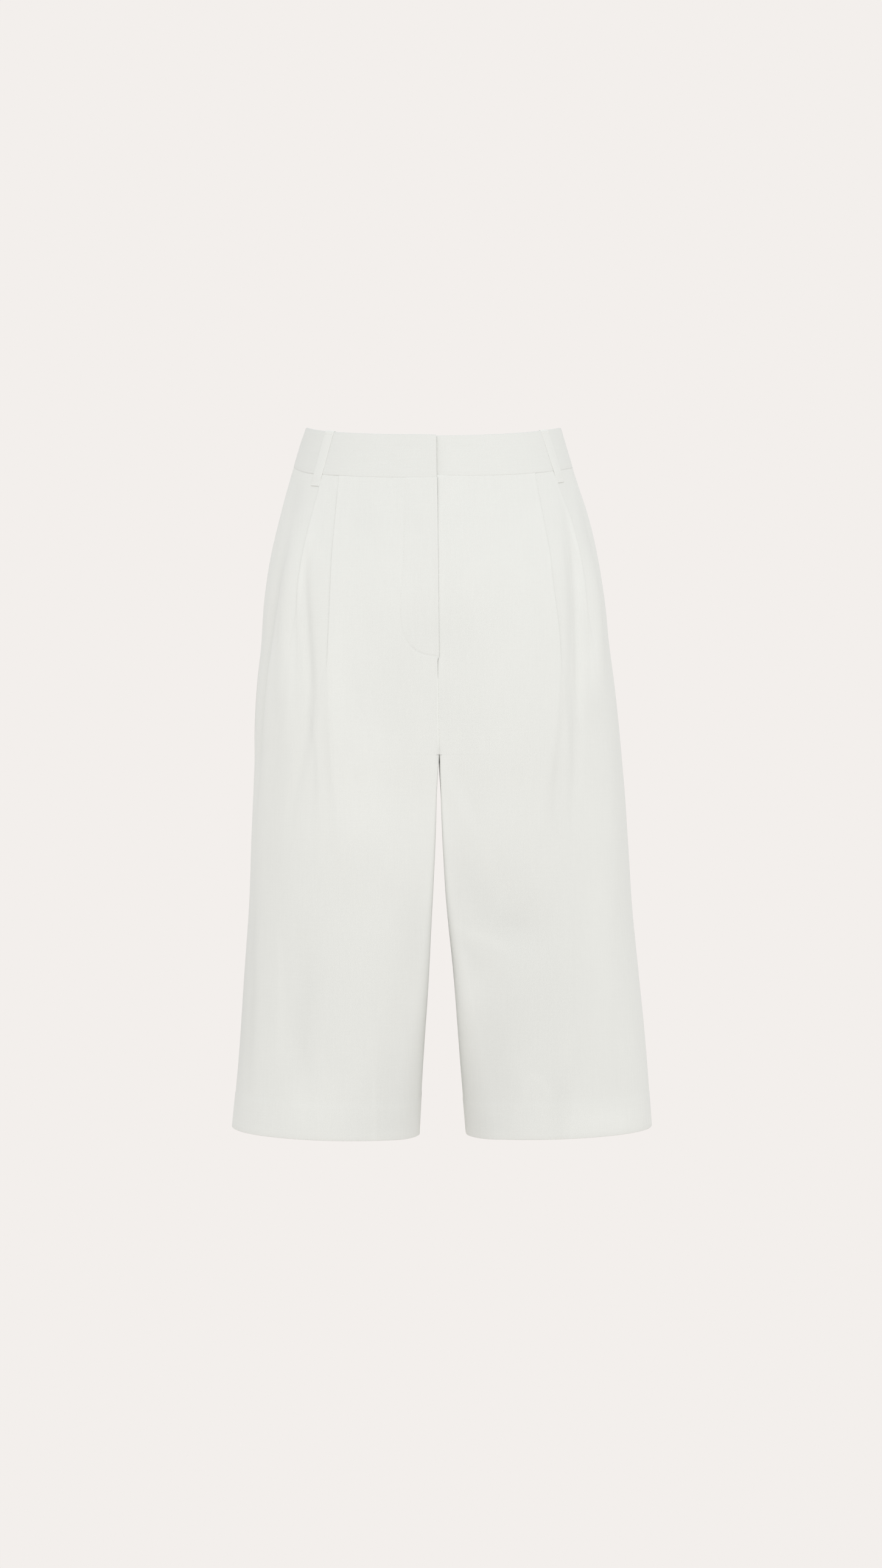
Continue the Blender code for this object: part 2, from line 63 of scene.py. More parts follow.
SEAM_GAP = 0.3
TURNED_GAP = 0.4
STEP = 0.47
SHELL = 0.42
BAND_HEIGHT = 37.0
HEM_DROP = 644.4
HEM_TURN_UP = 32.0
HEM_TOP = HEM_DROP - HEM_TURN_UP
CROTCH_DROP = 305.0
ORIGIN_DROP = BAND_HEIGHT / 2
FRONT_DIP = 17.0
BACK_RISE = 3.0
WAIST_CURVE = {RIGHT: 1.0, LEFT: 1.45}
LEVEL_DROP = 170.0

# How far the waistband's lower edge hangs in front beyond its curve, and the drops where this comes and
# goes.
SEAM_SAG = {RIGHT: 2.0, LEFT: 0.0}
SAG_COMES, SAG_GOES, SAG_FORWARD = (2, BAND_HEIGHT - 4), (BAND_HEIGHT + 8, 130), (5, 45)

HEM_RISE = 2.4
HEM_LEVEL_SHARE = 0.45
HEM_RISE_CURVE = 1.5
HEM_CORNER_RISE = 1.8
HEM_CORNER_WIDTH = 8.0
RISE_DROP = 420.0

Section = namedtuple(
    "Section", "drop out_right out_left mid gap front back full_front full_back corner_front corner_back"
)
SECTIONS = [
    Section(0, -117, 117, -2.8, 0, -86, 92, 0.14, 0.16, 3, 14),
    Section(40, -129, 129, -2.6, 0, -91, 98, 0.17, 0.22, 3, 14),
    Section(80, -140, 142, -2.3, 0, -98, 108, 0.20, 0.30, 3, 15),
    Section(120, -149, 152, -2.1, 0, -103, 119, 0.24, 0.37, 3, 16),
    Section(160, -155, 159, -1.9, 0, -106, 129, 0.27, 0.42, 3, 18),
    Section(200, -158, 163, -1.6, 0, -107, 134, 0.30, 0.45, 3, 20),
    Section(240, -162, 168, -1.2, 0, -107, 133, 0.32, 0.46, 3, 22),
    Section(280, -164, 172, -0.7, 0, -106, 129, 0.33, 0.46, 1.5, 24),
    Section(305, -164, 174, -0.3, 0.8, -105, 126, 0.34, 0.46, 1.5, 25),
    Section(330, -165, 176, -0.6, 3.0, -103, 123, 0.35, 0.46, 2, 26),
    Section(380, -167, 179, -0.4, 6.2, -101, 117, 0.35, 0.46, 4, 27),
    Section(440, -169, 183, 0.2, 12.8, -98, 111, 0.36, 0.46, 7, 28),
    Section(500, -173, 189, 2.2, 21.6, -96, 107, 0.37, 0.46, 12, 30),
    Section(560, -177, 195, 2.7, 29.8, -94, 104, 0.38, 0.46, 20, 32),
    Section(650, -185, 202, 4.0, 42, -91, 101, 0.40, 0.46, 28, 34),
]
SQUARENESS = {"front": 0.60, "back": 0.58}
SIDE_LINE_SHARE = 0.4
CENTRE_DENT = 0.04
DENT_DROP = 200.0
SEAM_TURNS_IN = {"front": 301.5, "back": 225.0}
GAP_SLANT, GAP_OPENS = 0.050, 0.012
SLANT_DROP, OPEN_DROP = 60.0, 345.0
CORNER_LEAN = 0.6
CORNER_HANDLE = 0.4
CURVE_SAMPLES = 110
CORNER_SAMPLES = 24
PAST_CENTRE = 60.0
TANGENT_REACH = 1.2

# A wall or corner of an outline shorter than this is left out, and a panel's columns keep to these at
# least.
LEAST_RUN = 0.01
END_WALL, END_CORNER = 3.0, 6.0

# ---------------------------------------------------------------- the pleats

PleatLine = namedtuple("PleatLine", "drop right_inner right_outer left_inner left_outer")
PLEAT_LINES = [
    PleatLine(37, 85.6, 100.5, 90.0, 108.0),
    PleatLine(90, 90.6, 113.2, 98.0, 125.5),
    PleatLine(115, 92.6, 118.2, 101.6, 130.5),
    PleatLine(150, 94.4, 123.0, 104.6, 135.4),
    PleatLine(190, 96.2, 125.0, 109.2, 138.0),
    PleatLine(230, 98.4, 126.5, 110.8, 139.0),
    PleatLine(300, 98.4, 133.0, 105.0, 146.0),
    PleatLine(350, 94.2, 138.0, 100.0, 152.0),
    PleatLine(450, 98.0, 145.2, 104.0, 162.0),
    PleatLine(650, 115.8, 155.8, 113.2, 172.2),
]
INNER_RELEASE = 221.0
OUTER_RELEASE = 172.0

# A pleat's section by the drop past its release: how far its fold runs back under it, how wide each of its
# two steps is, where the cloth starts down to it, each step's depth and how far its corners are rounded.
PleatStage = namedtuple("PleatStage", "past fold rise start step round")
PLEAT_STAGES = [
    PleatStage(-190, 12.0, 0.0, -1.0, STEP, 0.9),
    PleatStage(-60, 8.0, 0.0, -1.0, STEP, 1.0),
    PleatStage(-22, 4.0, 0.0, -1.0, STEP, 1.2),
    PleatStage(12, -3.0, 1.5, -8.0, 0.6, 2.0),
    PleatStage(50, -7.0, 4.0, -16.0, 0.45, 4.0),
    PleatStage(120, -9.0, 7.0, -24.0, 0.3, 6.0),
    PleatStage(430, -12.0, 10.0, -34.0, 0.0, 8.0),
]

ROW_STEP = 2.6
ALLOWANCE = 9.0
ALLOWANCE_DEPTH = 1.15
SEWN_GAP = 0.3
CENTRE_GAP = 0.04
SEWN_FLAT = 0.6
SEWN_ROUND = 0.1
FLY_LAP = 6.0
FLY_OVER = 1.3
FLY_LAP_DEPTH = 3.3
OPEN_STRIP, CLOSED_STRIP = 7.0, 1.5
STRIP_ROUND = 2.0
FLY_LAP_END, FLY_CLOSED = 216.0, 236.0


def table(rows):
    """The rows of a table as one array for each named column."""
    return {name: np.array([getattr(row, name) for row in rows], float) for name in rows[0]._fields}


SECTION_COLUMNS = table(SECTIONS)
PLEAT_COLUMNS = table(PLEAT_LINES)
STAGE_COLUMNS = table(PLEAT_STAGES)


def smooth_through(xs, ys, x):
    """A smooth curve through a table's points, with the slopes of each point's neighbours."""
    slopes = np.gradient(ys, xs)
    i = np.clip(np.searchsorted(xs, x) - 1, 0, len(xs) - 2)
    step = xs[i + 1] - xs[i]
    t = np.clip((x - xs[i]) / step, 0.0, 1.0)
    ends = ys[i] * (2 * t**3 - 3 * t**2 + 1) + ys[i + 1] * (3 * t**2 - 2 * t**3)
    return ends + step * (slopes[i] * (t**3 - 2 * t**2 + t) + slopes[i + 1] * (t**3 - t**2))


def section(drop, name):
    return float(smooth_through(SECTION_COLUMNS["drop"], SECTION_COLUMNS[name], drop))


def ramp(x, start, end):
    """From 0 at start to 1 at end, and level outside them."""
    return np.clip((x - start) / (end - start), 0.0, 1.0)


def ease(x, start, end):
    t = ramp(x, start, end)
    return t * t * (3 - 2 * t)


def flat_y(drop, half):
    """How far forward or back a half's cloth is by the centre seam, before it turns in to the seam."""
    return section(drop, half) * (1 - CENTRE_DENT * min(drop / DENT_DROP, 1.0) ** 2)


def centre_seam_y(drop, half):
    """Where a half's centre seam lies, and below the crotch its inseam."""
    middle = (section(drop, "front") + section(drop, "back")) / 2
    if drop >= CROTCH_DROP:
        return middle + (SEAM_GAP / 2 if half == "back" else -SEAM_GAP / 2)
    crotch_y = (section(CROTCH_DROP, "front") + section(CROTCH_DROP, "back")) / 2
    turned = ramp(drop, SEAM_TURNS_IN[half], CROTCH_DROP)
    return crotch_y + (flat_y(drop, half) - crotch_y) * math.sqrt(1 - turned**2)


def gap_edge(drop, side, y, half_gap):
    """The x of a side's cloth by the centre. The gap between the legs slants and widens to the back."""
    behind = y - section(drop, "front")
    slant = GAP_SLANT * ease(drop, SLANT_DROP, CROTCH_DROP)
    opened = GAP_OPENS * ramp(drop, CROTCH_DROP, OPEN_DROP)
    return section(drop, "mid") + slant * behind + side * (half_gap + opened * behind)


def bezier(p0, p1, p2, p3):
    t = np.linspace(0, 1, CURVE_SAMPLES)[:, None]
    return (1 - t) ** 3 * p0 + 3 * t * (1 - t) ** 2 * p1 + 3 * t**2 * (1 - t) * p2 + t**3 * p3


def half_outline(drop, side, half):
    """One quarter of the section, and how much of its end is wall and corner.

    It runs from the side line round the fullest place and nearly flat towards the centre, then round a
    corner and straight back to the centre seam or inseam. Where the seam is less deep than the corner,
    that turns less.
    """
    out = section(drop, "out_left" if side == LEFT else "out_right")
    mid, extreme, radius = section(drop, "mid"), section(drop, half), section(drop, "corner_" + half)
    side_point = np.array([out, SIDE_LINE_SHARE * (section(drop, "front") + section(drop, "back"))])
    fullest = np.array([mid + (out - mid) * section(drop, "full_" + half), extreme])
    near_y, seam_y = flat_y(drop, half), centre_seam_y(drop, half)
    inward = -math.copysign(1.0, extreme)
    lean = CORNER_LEAN * abs(near_y - extreme) / abs(fullest[0] - mid)
    turn = math.acos(max(math.cos(lean) - abs(seam_y - near_y) / radius, 0.0))
    half_gap = (section(drop, "gap") if drop >= CROTCH_DROP else SEAM_GAP + TURNED_GAP * math.sin(turn)) / 2
    angles = np.linspace(lean, turn, CORNER_SAMPLES)
    level = near_y - inward * math.tan(lean) * radius * (math.sin(turn) - math.sin(lean))
    corner_y = level + inward * radius * (math.cos(lean) - np.cos(angles))
    edge_x = gap_edge(drop, side, corner_y[-1], half_gap)
    corner_x = edge_x + side * radius * (math.sin(turn) - np.sin(angles))
    corner = np.stack([corner_x, corner_y], -1)
    wall = abs(seam_y - corner[-1, 1])
    square = SQUARENESS[half]
    to_full, to_corner = fullest - side_point, corner[0] - fullest
    arrival = np.array([-side * math.cos(lean), inward * math.sin(lean)])
    to_fullest = bezier(
        side_point,
        side_point + np.array([0, square * to_full[1]]),
        fullest - np.array([square * to_full[0], 0]),
        fullest,
    )
    handle = CORNER_HANDLE * abs(to_corner[0])
    leaving = np.array([-side, 0])
    to_corner = bezier(fullest, fullest + handle * leaving, corner[0] - handle * arrival, corner[0])
    parts = [to_fullest, to_corner[1:]]
    if radius * (turn - lean) > LEAST_RUN:
        parts.append(corner[1:])
    if wall > LEAST_RUN:
        parts.append([[gap_edge(drop, side, seam_y, half_gap), seam_y]])
    return np.concatenate(parts), wall, radius * (turn - lean)


class Outline:
    """One side's section at a drop, from the centre front to the centre back, and a little past both."""

    cache = {}

    def __init__(self, drop, side):
        self.drop, self.side = drop, side
        front, self.front_wall, self.front_corner = half_outline(drop, side, "front")
        back, self.back_wall, self.back_corner = half_outline(drop, side, "back")
        points = np.concatenate([front[::-1], back[1:]])
        along = np.concatenate([[0.0], np.cumsum(np.linalg.norm(np.diff(points, axis=0), axis=1))])
        self.side_along, self.length = along[len(front) - 1], along[-1]
        self.mid, self.gap = section(drop, "mid"), section(drop, "gap")
        self.out = section(drop, "out_left" if side == LEFT else "out_right")
        self.edges = section(drop, "front"), section(drop, "back")
        self.front_outs = (points[: len(front), 0] - self.mid) * side
        self.front_alongs = along[: len(front)]
        front_end, back_end = self.front_wall + self.front_corner, self.back_wall + self.back_corner
        self.flat_front = front_end - abs(np.interp(front_end, along, points[:, 0]) - self.mid)
        self.flat_back = back_end - abs(np.interp(along[-1] - back_end, along, points[:, 0]) - self.mid)
        self.points, self.along = points, along

    @classmethod
    def at(cls, drop, side):
        key = (round(max(float(drop), 0.0), 3), side)
        if key not in cls.cache:
            cls.cache[key] = cls(*key)
        return cls.cache[key]

    def along_of(self, out):
        """The place along the outline's front that lies this far out from the centre."""
        order = np.argsort(self.front_outs)
        return np.interp(out, self.front_outs[order], self.front_alongs[order])

    def extended(self):
        """The outline with a stretch of the other side's at both ends."""
        if not hasattr(self, "long"):
            other = Outline.at(self.drop, -self.side)
            before = other.along < PAST_CENTRE
            after = other.along > other.length - PAST_CENTRE
            along = np.concatenate([
                -other.along[before][::-1] - SEAM_GAP,
                self.along,
                self.length + SEAM_GAP + (other.length - other.along[after])[::-1],
            ])
            points = np.concatenate([other.points[before][::-1], self.points, other.points[after][::-1]])
            self.long = along, points
        return self.long

    def place(self, along, depth, drop=None):
        """Points of the garment at these places along the section and these depths."""
        drop = self.drop if drop is None else drop
        alongs, points = self.extended()

        def at(where):
            return np.stack([np.interp(where, alongs, points[:, i]) for i in (0, 1)], -1)

        here = at(along)
        tangent = at(along + TANGENT_REACH) - at(along - TANGENT_REACH)
        tangent /= np.linalg.norm(tangent, axis=-1, keepdims=True)
        inward = self.side * np.stack([-tangent[..., 1], tangent[..., 0]], -1)
        xy = here + inward * np.asarray(depth)[..., None]
        z = ORIGIN_DROP - drop - self.lowered(here[..., 0], here[..., 1])
        return np.concatenate([xy, z[..., None]], -1)

    def lowered(self, x, y):
        """How far the waist's curve and the hem's rise lower points at this drop."""
        edge = np.where(y < 0, self.edges[0], self.edges[1])
        share = np.minimum(np.abs(y / edge), 1.0) ** WAIST_CURVE[self.side]
        level = 1 - ramp(self.drop, BAND_HEIGHT, LEVEL_DROP)
        waist = np.where(y < 0, FRONT_DIP, -BACK_RISE) * share * level**2 * (3 - 2 * level)
        sag = ease(self.drop, *SAG_COMES) * (1 - ease(self.drop, *SAG_GOES))
        waist = waist + SEAM_SAG[self.side] * sag * ramp(-y, *SAG_FORWARD)
        rise = HEM_RISE * ramp((x - self.mid) / (self.out - self.mid), HEM_LEVEL_SHARE, 1.0) ** HEM_RISE_CURVE
        inner = np.maximum(np.abs(x - self.mid) - self.gap / 2, 0.0)
        rise = rise + HEM_CORNER_RISE * np.exp(-inner / HEM_CORNER_WIDTH)
        return waist - rise * ramp(self.drop, RISE_DROP, HEM_DROP)


# ---------------------------------------------------------------- folds laid one by one

# A fold is a soft line over the cloth, with its kind, its half width, its depth at the deepest and its
# points as (across, drop).
Fold = namedtuple("Fold", "kind width depth points")
FOLDS = {
    "front_right": [
        Fold("trough", 5, 2.0, ((122, 96), (124, 130), (121, 194), (118, 227), (118, 259), (122, 300))),
        Fold("trough", 6, 1.6, ((116, 225), (119, 265), (126, 308), (134, 345), (138, 400))),
        Fold("ridge", 10, -2.8, ((130, 50), (140, 113), (148, 149), (152, 190), (153, 240), (156, 300))),
        Fold("trough", 7, 4.2, (
            (150, 30), (160, 105), (172, 150), (182, 181), (190, 216), (195, 252), (199, 290), (203, 335),
            (203, 430),
        )),
        Fold("lip", 6, 0.9, ((100.5, 215), (100.5, 265), (100, 297), (97, 324), (94.5, 351), (94, 410))),
        Fold("crease", 5, -0.8, ((98, 420), (106, 520), (112, 580), (116, 650), (120, 720))),
        Fold("trough", 22, 1.8, ((123, 420), (120, 500), (124, 560), (118, 640))),
        Fold("trough", 22, 2.8, ((42, 460), (34, 545), (30, 600), (28, 720))),
        Fold("ridge", 30, -2.6, ((72, 240), (72, 345), (74, 440))),
    ],
    "front_left": [
        Fold("trough", 5, 2.4, (
            (124, 36), (129, 76), (133, 110), (134, 143), (133.5, 199), (131, 253), (127, 307), (123, 360),
            (120, 430),
        )),
        Fold("ridge", 11, -3.0, (
            (134, 40), (149, 90), (160, 130), (168, 165), (170, 197), (169, 228), (166, 275),
        )),
        Fold("trough", 8, 2.0, ((158, 30), (170, 90), (186, 140), (194, 172), (199, 205))),
        Fold("lip", 6, 0.9, ((113, 195), (112.4, 245), (111, 270), (104.5, 310), (100.5, 351), (98, 400))),
        Fold("crease", 5, -0.9, (
            (118, 350), (117.5, 420), (117, 470), (115, 560), (113.6, 640), (113, 730),
        )),
        Fold("lip", 8, 1.0, ((9, 300), (16, 330), (25, 352), (34, 384))),
        Fold("trough", 26, 2.8, ((22, 360), (48, 425), (70, 455), (110, 480))),
        Fold("trough", 20, 1.8, ((10, 415), (22, 475), (34, 500), (60, 530))),
        Fold("trough", 24, 3.0, ((50, 490), (40, 560), (34, 610), (32, 730))),
    ],
    "back_right": [
        Fold("crease", 5, -1.2, ((78, 300), (80, 380), (84, 480), (88, 560), (92, 640))),
        Fold("trough", 16, 2.4, ((30, 262), (52, 282), (78, 296), (104, 300))),
        Fold("trough", 20, 2.2, ((48, 320), (54, 400), (58, 480), (60, 560))),
        Fold("trough", 18, 1.8, ((118, 230), (124, 320), (128, 420), (130, 520))),
        Fold("ridge", 15, -1.4, ((28, 420), (30, 500), (34, 580), (36, 636))),
        Fold("trough", 5, 0.8, ((56, 40), (55, 66), (53, 92), (51, 120))),
    ],
    "back_left": [
        Fold("crease", 5, -1.2, ((82, 300), (85, 380), (90, 480), (95, 560), (98, 640))),
        Fold("trough", 15, 2.2, ((26, 268), (50, 284), (80, 292), (110, 304))),
        Fold("trough", 21, 2.4, ((52, 340), (60, 420), (64, 500), (62, 580))),
        Fold("trough", 17, 1.6, ((124, 220), (132, 310), (138, 400), (142, 520))),
        Fold("ridge", 14, -1.2, ((32, 400), (36, 480), (38, 560), (42, 636))),
        Fold("trough", 5, 0.8, ((58, 40), (57, 66), (55, 92), (53, 120))),
    ],
}
FOLD_REACH = {"trough": 3.2, "ridge": 3.2, "lip": 3.2, "crease": 5}
FOLD_FADE = 0.38
LIP_GAIN, CREASE_TIP = 1.65, 0.5
PATH_STEPS, STITCHED_STEPS = 30, 60
NOISE_CELLS = 64

# Slow unevenness of the cloth: its size across and down the cloth and its height.
Ripple = namedtuple("Ripple", "across down height")
RIPPLES = [Ripple(46, 130, 0.55), Ripple(19, 60, 0.16)]
RIPPLE_SLANT, NOISE_START = 0.12, 20


def smooth_path(points, steps=PATH_STEPS):
    """A dense smooth line through a few points."""
    points = np.array(points, float)
    t = np.linspace(0, len(points) - 1, steps)
    knots = np.arange(len(points), dtype=float)
    return np.stack([smooth_through(knots, points[:, i], t) for i in range(points.shape[1])], -1)


def distance_to(path, across, down):
    """Each point's distance from a path, signed by its side of it, and its place along it from 0 to 1."""
    starts, spans = path[:-1], np.diff(path, axis=0)
    lengths = np.maximum((spans**2).sum(1), 1e-9)
    best = np.full(across.shape, 1e9)
    sign, where = np.zeros(across.shape), np.zeros(across.shape)
    for i, (start, span) in enumerate(zip(starts, spans)):
        dx, dy = across - start[0], down - start[1]
        t = np.clip((dx * span[0] + dy * span[1]) / lengths[i], 0, 1)
        gap = np.hypot(dx - t * span[0], dy - t * span[1])
        nearer = gap < best
        best = np.where(nearer, gap, best)
        sign = np.where(nearer, np.sign(dx * span[1] - dy * span[0]), sign)
        where = np.where(nearer, (i + t) / len(spans), where)
    return best * np.where(sign < 0, -1, 1), where


def bell(distance, width):
    return np.exp(-((distance / width) ** 2))


def profile(kind, distance, width):
    """The shape of a fold across it: a lip is high on one side and low on the other, a crease is sharp."""
    if kind == "crease":
        return np.exp(-(np.sqrt(distance**2 + CREASE_TIP**2) - CREASE_TIP) / width)
    if kind == "lip":
        return LIP_GAIN * distance / width * bell(distance, width)
    return bell(distance, width)


def fade(where):
    """How far a fold has come up at its place along its path, from 0 at both ends."""
    return ease(where, 0, FOLD_FADE) * ease(1 - where, 0, FOLD_FADE)


def noise(across, down, seed):
    """Smooth values from -1 to 1 on a grid of spacing 1, the same in each run."""
    rng = np.random.default_rng(seed)
    lattice = rng.uniform(-1, 1, (NOISE_CELLS, NOISE_CELLS))
    x0, y0 = np.floor(across).astype(int), np.floor(down).astype(int)
    tx, ty = across - x0, down - y0
    tx, ty = tx * tx * (3 - 2 * tx), ty * ty * (3 - 2 * ty)

    def at(i, j):
        return lattice[(x0 + i) % NOISE_CELLS, (y0 + j) % NOISE_CELLS]

    top = at(0, 0) * (1 - tx) + at(1, 0) * tx
    return top * (1 - ty) + (at(0, 1) * (1 - tx) + at(1, 1) * tx) * ty


def relief(piece, across, drop):
    """How much deeper than the form the cloth of a piece lies, from its folds and its unevenness."""
    total = np.zeros(across.shape)
    for fold in FOLDS[piece]:
        path = smooth_path(fold.points)
        reach = FOLD_REACH[fold.kind] * fold.width
        low, high = path.min(0) - reach, path.max(0) + reach
        near = (across > low[0]) & (across < high[0]) & (drop > low[1]) & (drop < high[1])
        if near.any():
            distance, where = distance_to(path, across[near], drop[near])
            total[near] += fold.depth * fade(where) * profile(fold.kind, distance, fold.width)
    if piece == "front_right":
        distance, _ = distance_to(smooth_path(STITCHED[piece], STITCHED_STEPS), across, drop)
        total -= FLY_RAISED * ease(-distance, *FLY_RAISES) * (1 - ease(drop, *FLY_LOWERS))
        by_band = 1 - ease(drop, BAND_HEIGHT, BAND_HEIGHT + BAND_RISE_REACH)
        total -= BAND_END_RISE * (1 - ease(across, *BAND_END_RISES)) * by_band
    seed = sum(map(ord, piece))
    calm = ease(drop, BAND_HEIGHT, BAND_HEIGHT + CALM_REACH)
    for i, ripple in enumerate(RIPPLES):
        slant = (across + RIPPLE_SLANT * drop) / ripple.across
        uneven = noise(slant + NOISE_START, drop / ripple.down + NOISE_START, seed + i)
        total += calm * ripple.height * uneven
    return total


# ---------------------------------------------------------------- marks

# Lines of stitching by piece, as (across, drop), and how strongly each shows: the row that holds the fly's
# facing, and the backs' darts.
STITCHED = {
    "front_right": (
        (27.0, 37), (27.4, 55), (28.7, 94), (29.9, 131), (31.2, 145), (32.6, 174), (31.2, 190), (27.3, 201),
        (20.4, 209), (11.9, 213), (-0.6, 215),
    ),
    "back_right": ((56, 37), (55, 66), (53, 92), (51, 122)),
    "back_left": ((58, 37), (57, 66), (55, 92), (53, 122)),
}
LINE_WEIGHT = {"front_right": 1.0, "back_right": 0.9, "back_left": 0.9}
FLY_LINE_FAINT, FLY_LINE_GAINS, DART_ENDS = 0.25, (0.66, 0.80), (0.8, 1.0)
HEM_TONE, HEM_LINE_TONE, HEM_LINE_WIDTH = 0.012, -0.005, 0.9

# Painted light and shade in soft patches round a place, with how far each reaches over the cloth and down
# it. The patch at the centre just above the crotch is a painted shadow.
Shade = namedtuple("Shade", "across drop reach_across reach_down tone")
PAINTED_SHADES = {
    "front_right": [
        Shade(0, CROTCH_DROP - 4, 2.6, 9, -0.050),
        Shade(40, 60, 80, 70, -0.030),
        Shade(60, 570, 90, 110, -0.010),
        Shade(0, 195, 60, 24, -0.012),
        Shade(72, 345, 46, 60, 0.022),
        Shade(34, 612, 30, 52, -0.058),
        Shade(28, 535, 18, 45, -0.016),
        Shade(119, 518, 26, 75, -0.008),
        Shade(222, 525, 26, 100, -0.045),
        Shade(137, 245, 8, 60, 0.030),
        Shade(90, 240, 12, 60, 0.020),
        Shade(22, 462, 16, 40, -0.036),
        Shade(50, 632, 26, 12, -0.020),
        Shade(142, 62, 14, 22, -0.026),
        Shade(64, 75, 16, 40, -0.012),
        Shade(30, 240, 34, 45, -0.014),
        Shade(222, 545, 20, 90, -0.030),
    ],
    "front_left": [
        Shade(60, 560, 80, 110, -0.012),
        Shade(0, CROTCH_DROP - 4, 2.6, 9, -0.050),
        Shade(50, 60, 80, 60, -0.024),
        Shade(0, 195, 60, 24, -0.012),
        Shade(32, 612, 32, 56, -0.066),
        Shade(54, 450, 50, 45, -0.026),
        Shade(44, 545, 40, 50, -0.022),
        Shade(96, 520, 45, 90, -0.014),
        Shade(156, 630, 42, 13, 0.042),
        Shade(12, 560, 10, 48, 0.042),
        Shade(40, 634, 22, 12, -0.026),
        Shade(156, 105, 14, 30, -0.024),
        Shade(148, 228, 22, 30, 0.022),
        Shade(172, 330, 16, 80, 0.018),
        Shade(128, 64, 14, 22, -0.016),
        Shade(20, 410, 14, 40, -0.018),
        Shade(184, 570, 20, 70, 0.015),
        Shade(8, 262, 20, 30, -0.014),
    ],
    "back_right": [
        Shade(250, 525, 26, 100, -0.045),
        Shade(250, 545, 20, 90, -0.030),
    ],
}

# Soft lighter and darker lines over the cloth where its folds turn from the light or to it.
Streak = namedtuple("Streak", "width tone points")
STREAKS = {
    "front_right": [
        Streak(3.0, -0.034, (
            (122, 96), (124, 131), (120, 161), (116, 194), (114, 226), (114, 259), (117, 289), (124, 318),
            (131, 350),
        )),
        Streak(2.4, -0.026, ((116, 225), (118, 262), (112, 300), (110, 340), (112, 380))),
        Streak(7.0, 0.020, ((124, 90), (131, 130), (137, 165), (139, 199), (138, 226), (142, 290))),
        Streak(3.2, -0.056, (
            (142, 30), (150, 112), (161, 150), (172, 181), (181, 216), (187, 252), (194, 290), (197, 350),
            (195, 440),
        )),
        Streak(16.0, 0.026, ((152, 120), (160, 170), (168, 230), (174, 300), (174, 380), (172, 500))),
        Streak(7.0, -0.040, ((197, 380), (193, 445), (188, 511), (187, 572), (186, 630))),
        Streak(9.0, -0.022, ((121, 430), (120, 497), (124, 540), (122, 573), (114, 615))),
        Streak(3.5, 0.018, ((152, 430), (150, 465), (148, 505), (148, 542), (146, 600))),
        Streak(26.0, 0.020, ((150, 604), (128, 612), (104, 608), (74, 612))),
        Streak(2.5, 0.016, ((60, 560), (61, 600), (62, 650), (62, 700))),
        Streak(4.0, 0.024, ((112, 60), (116, 90), (121, 115), (126, 140), (128, 175))),
    ],
    "front_left": [
        Streak(3.6, -0.040, (
            (118, 40), (120, 76), (122.5, 100), (124, 131), (124, 172), (123, 204), (121, 242), (121, 275),
            (121, 310), (119, 345), (118, 410),
        )),
        Streak(13.0, 0.034, ((140, 100), (148, 145), (153, 190), (156, 226), (158, 262))),
        Streak(3.0, 0.022, ((118, 40), (124, 62), (134, 92), (143, 120), (148, 140))),
        Streak(7.0, -0.020, ((110, 262), (106, 310), (104, 350), (108, 400))),
        Streak(20.0, 0.024, ((160, 236), (156, 300), (154, 380), (151, 450), (150, 520), (152, 580))),
        Streak(11.0, -0.022, ((16, 360), (30, 410), (46, 444), (75, 453), (108, 460))),
        Streak(5.0, 0.022, ((12, 448), (24, 459), (39, 464), (56, 473), (70, 484))),
        Streak(6.0, -0.018, ((8, 455), (22, 470), (30, 484), (34, 510))),
        Streak(2.4, 0.018, ((70, 592), (83, 588), (93, 600), (98, 616))),
        Streak(1.6, 0.026, ((117.5, 600), (116.6, 624), (116, 644), (116, 670))),
        Streak(9.0, -0.020, ((104, 560), (104, 600), (105, 640), (105, 690))),
    ],
}

# Painted light by the inner leg's edge and in the closed centre seam, a painted shadow line and a painted
# highlight beside the fly's opening, and painted shade on the waistband.
EDGE_PAINTED_LIGHT, EDGE_REACH = {RIGHT: 0.04, LEFT: 0.12}, (-2, 3.5)
CENTRE_PAINTED_LIGHT, CENTRE_WIDTH = 0.06, 0.8
BesideFly = namedtuple("BesideFly", "across width tone")
FLY_PAINTED_SHADOW_HIGHLIGHT = {RIGHT: BesideFly(1.4, 1.0, -0.010), LEFT: BesideFly(3.6, 2.6, 0.014)}
CLOSED_SHARE = 0.6
BAND_PAINTED_SHADE = {RIGHT: -0.036, LEFT: -0.022}

# How far the facing lifts the cloth inside its stitches, and the lapping end of the waistband the cloth
# below it.
FLY_RAISED, FLY_RAISES, FLY_LOWERS = 0.22, (0.3, 2.2), (205, 216)
BAND_END_RISE, BAND_END_RISES, BAND_RISE_REACH = 1.2, (24.0, 46.0), 60
CALM_REACH = 50


# ---------------------------------------------------------------- grids


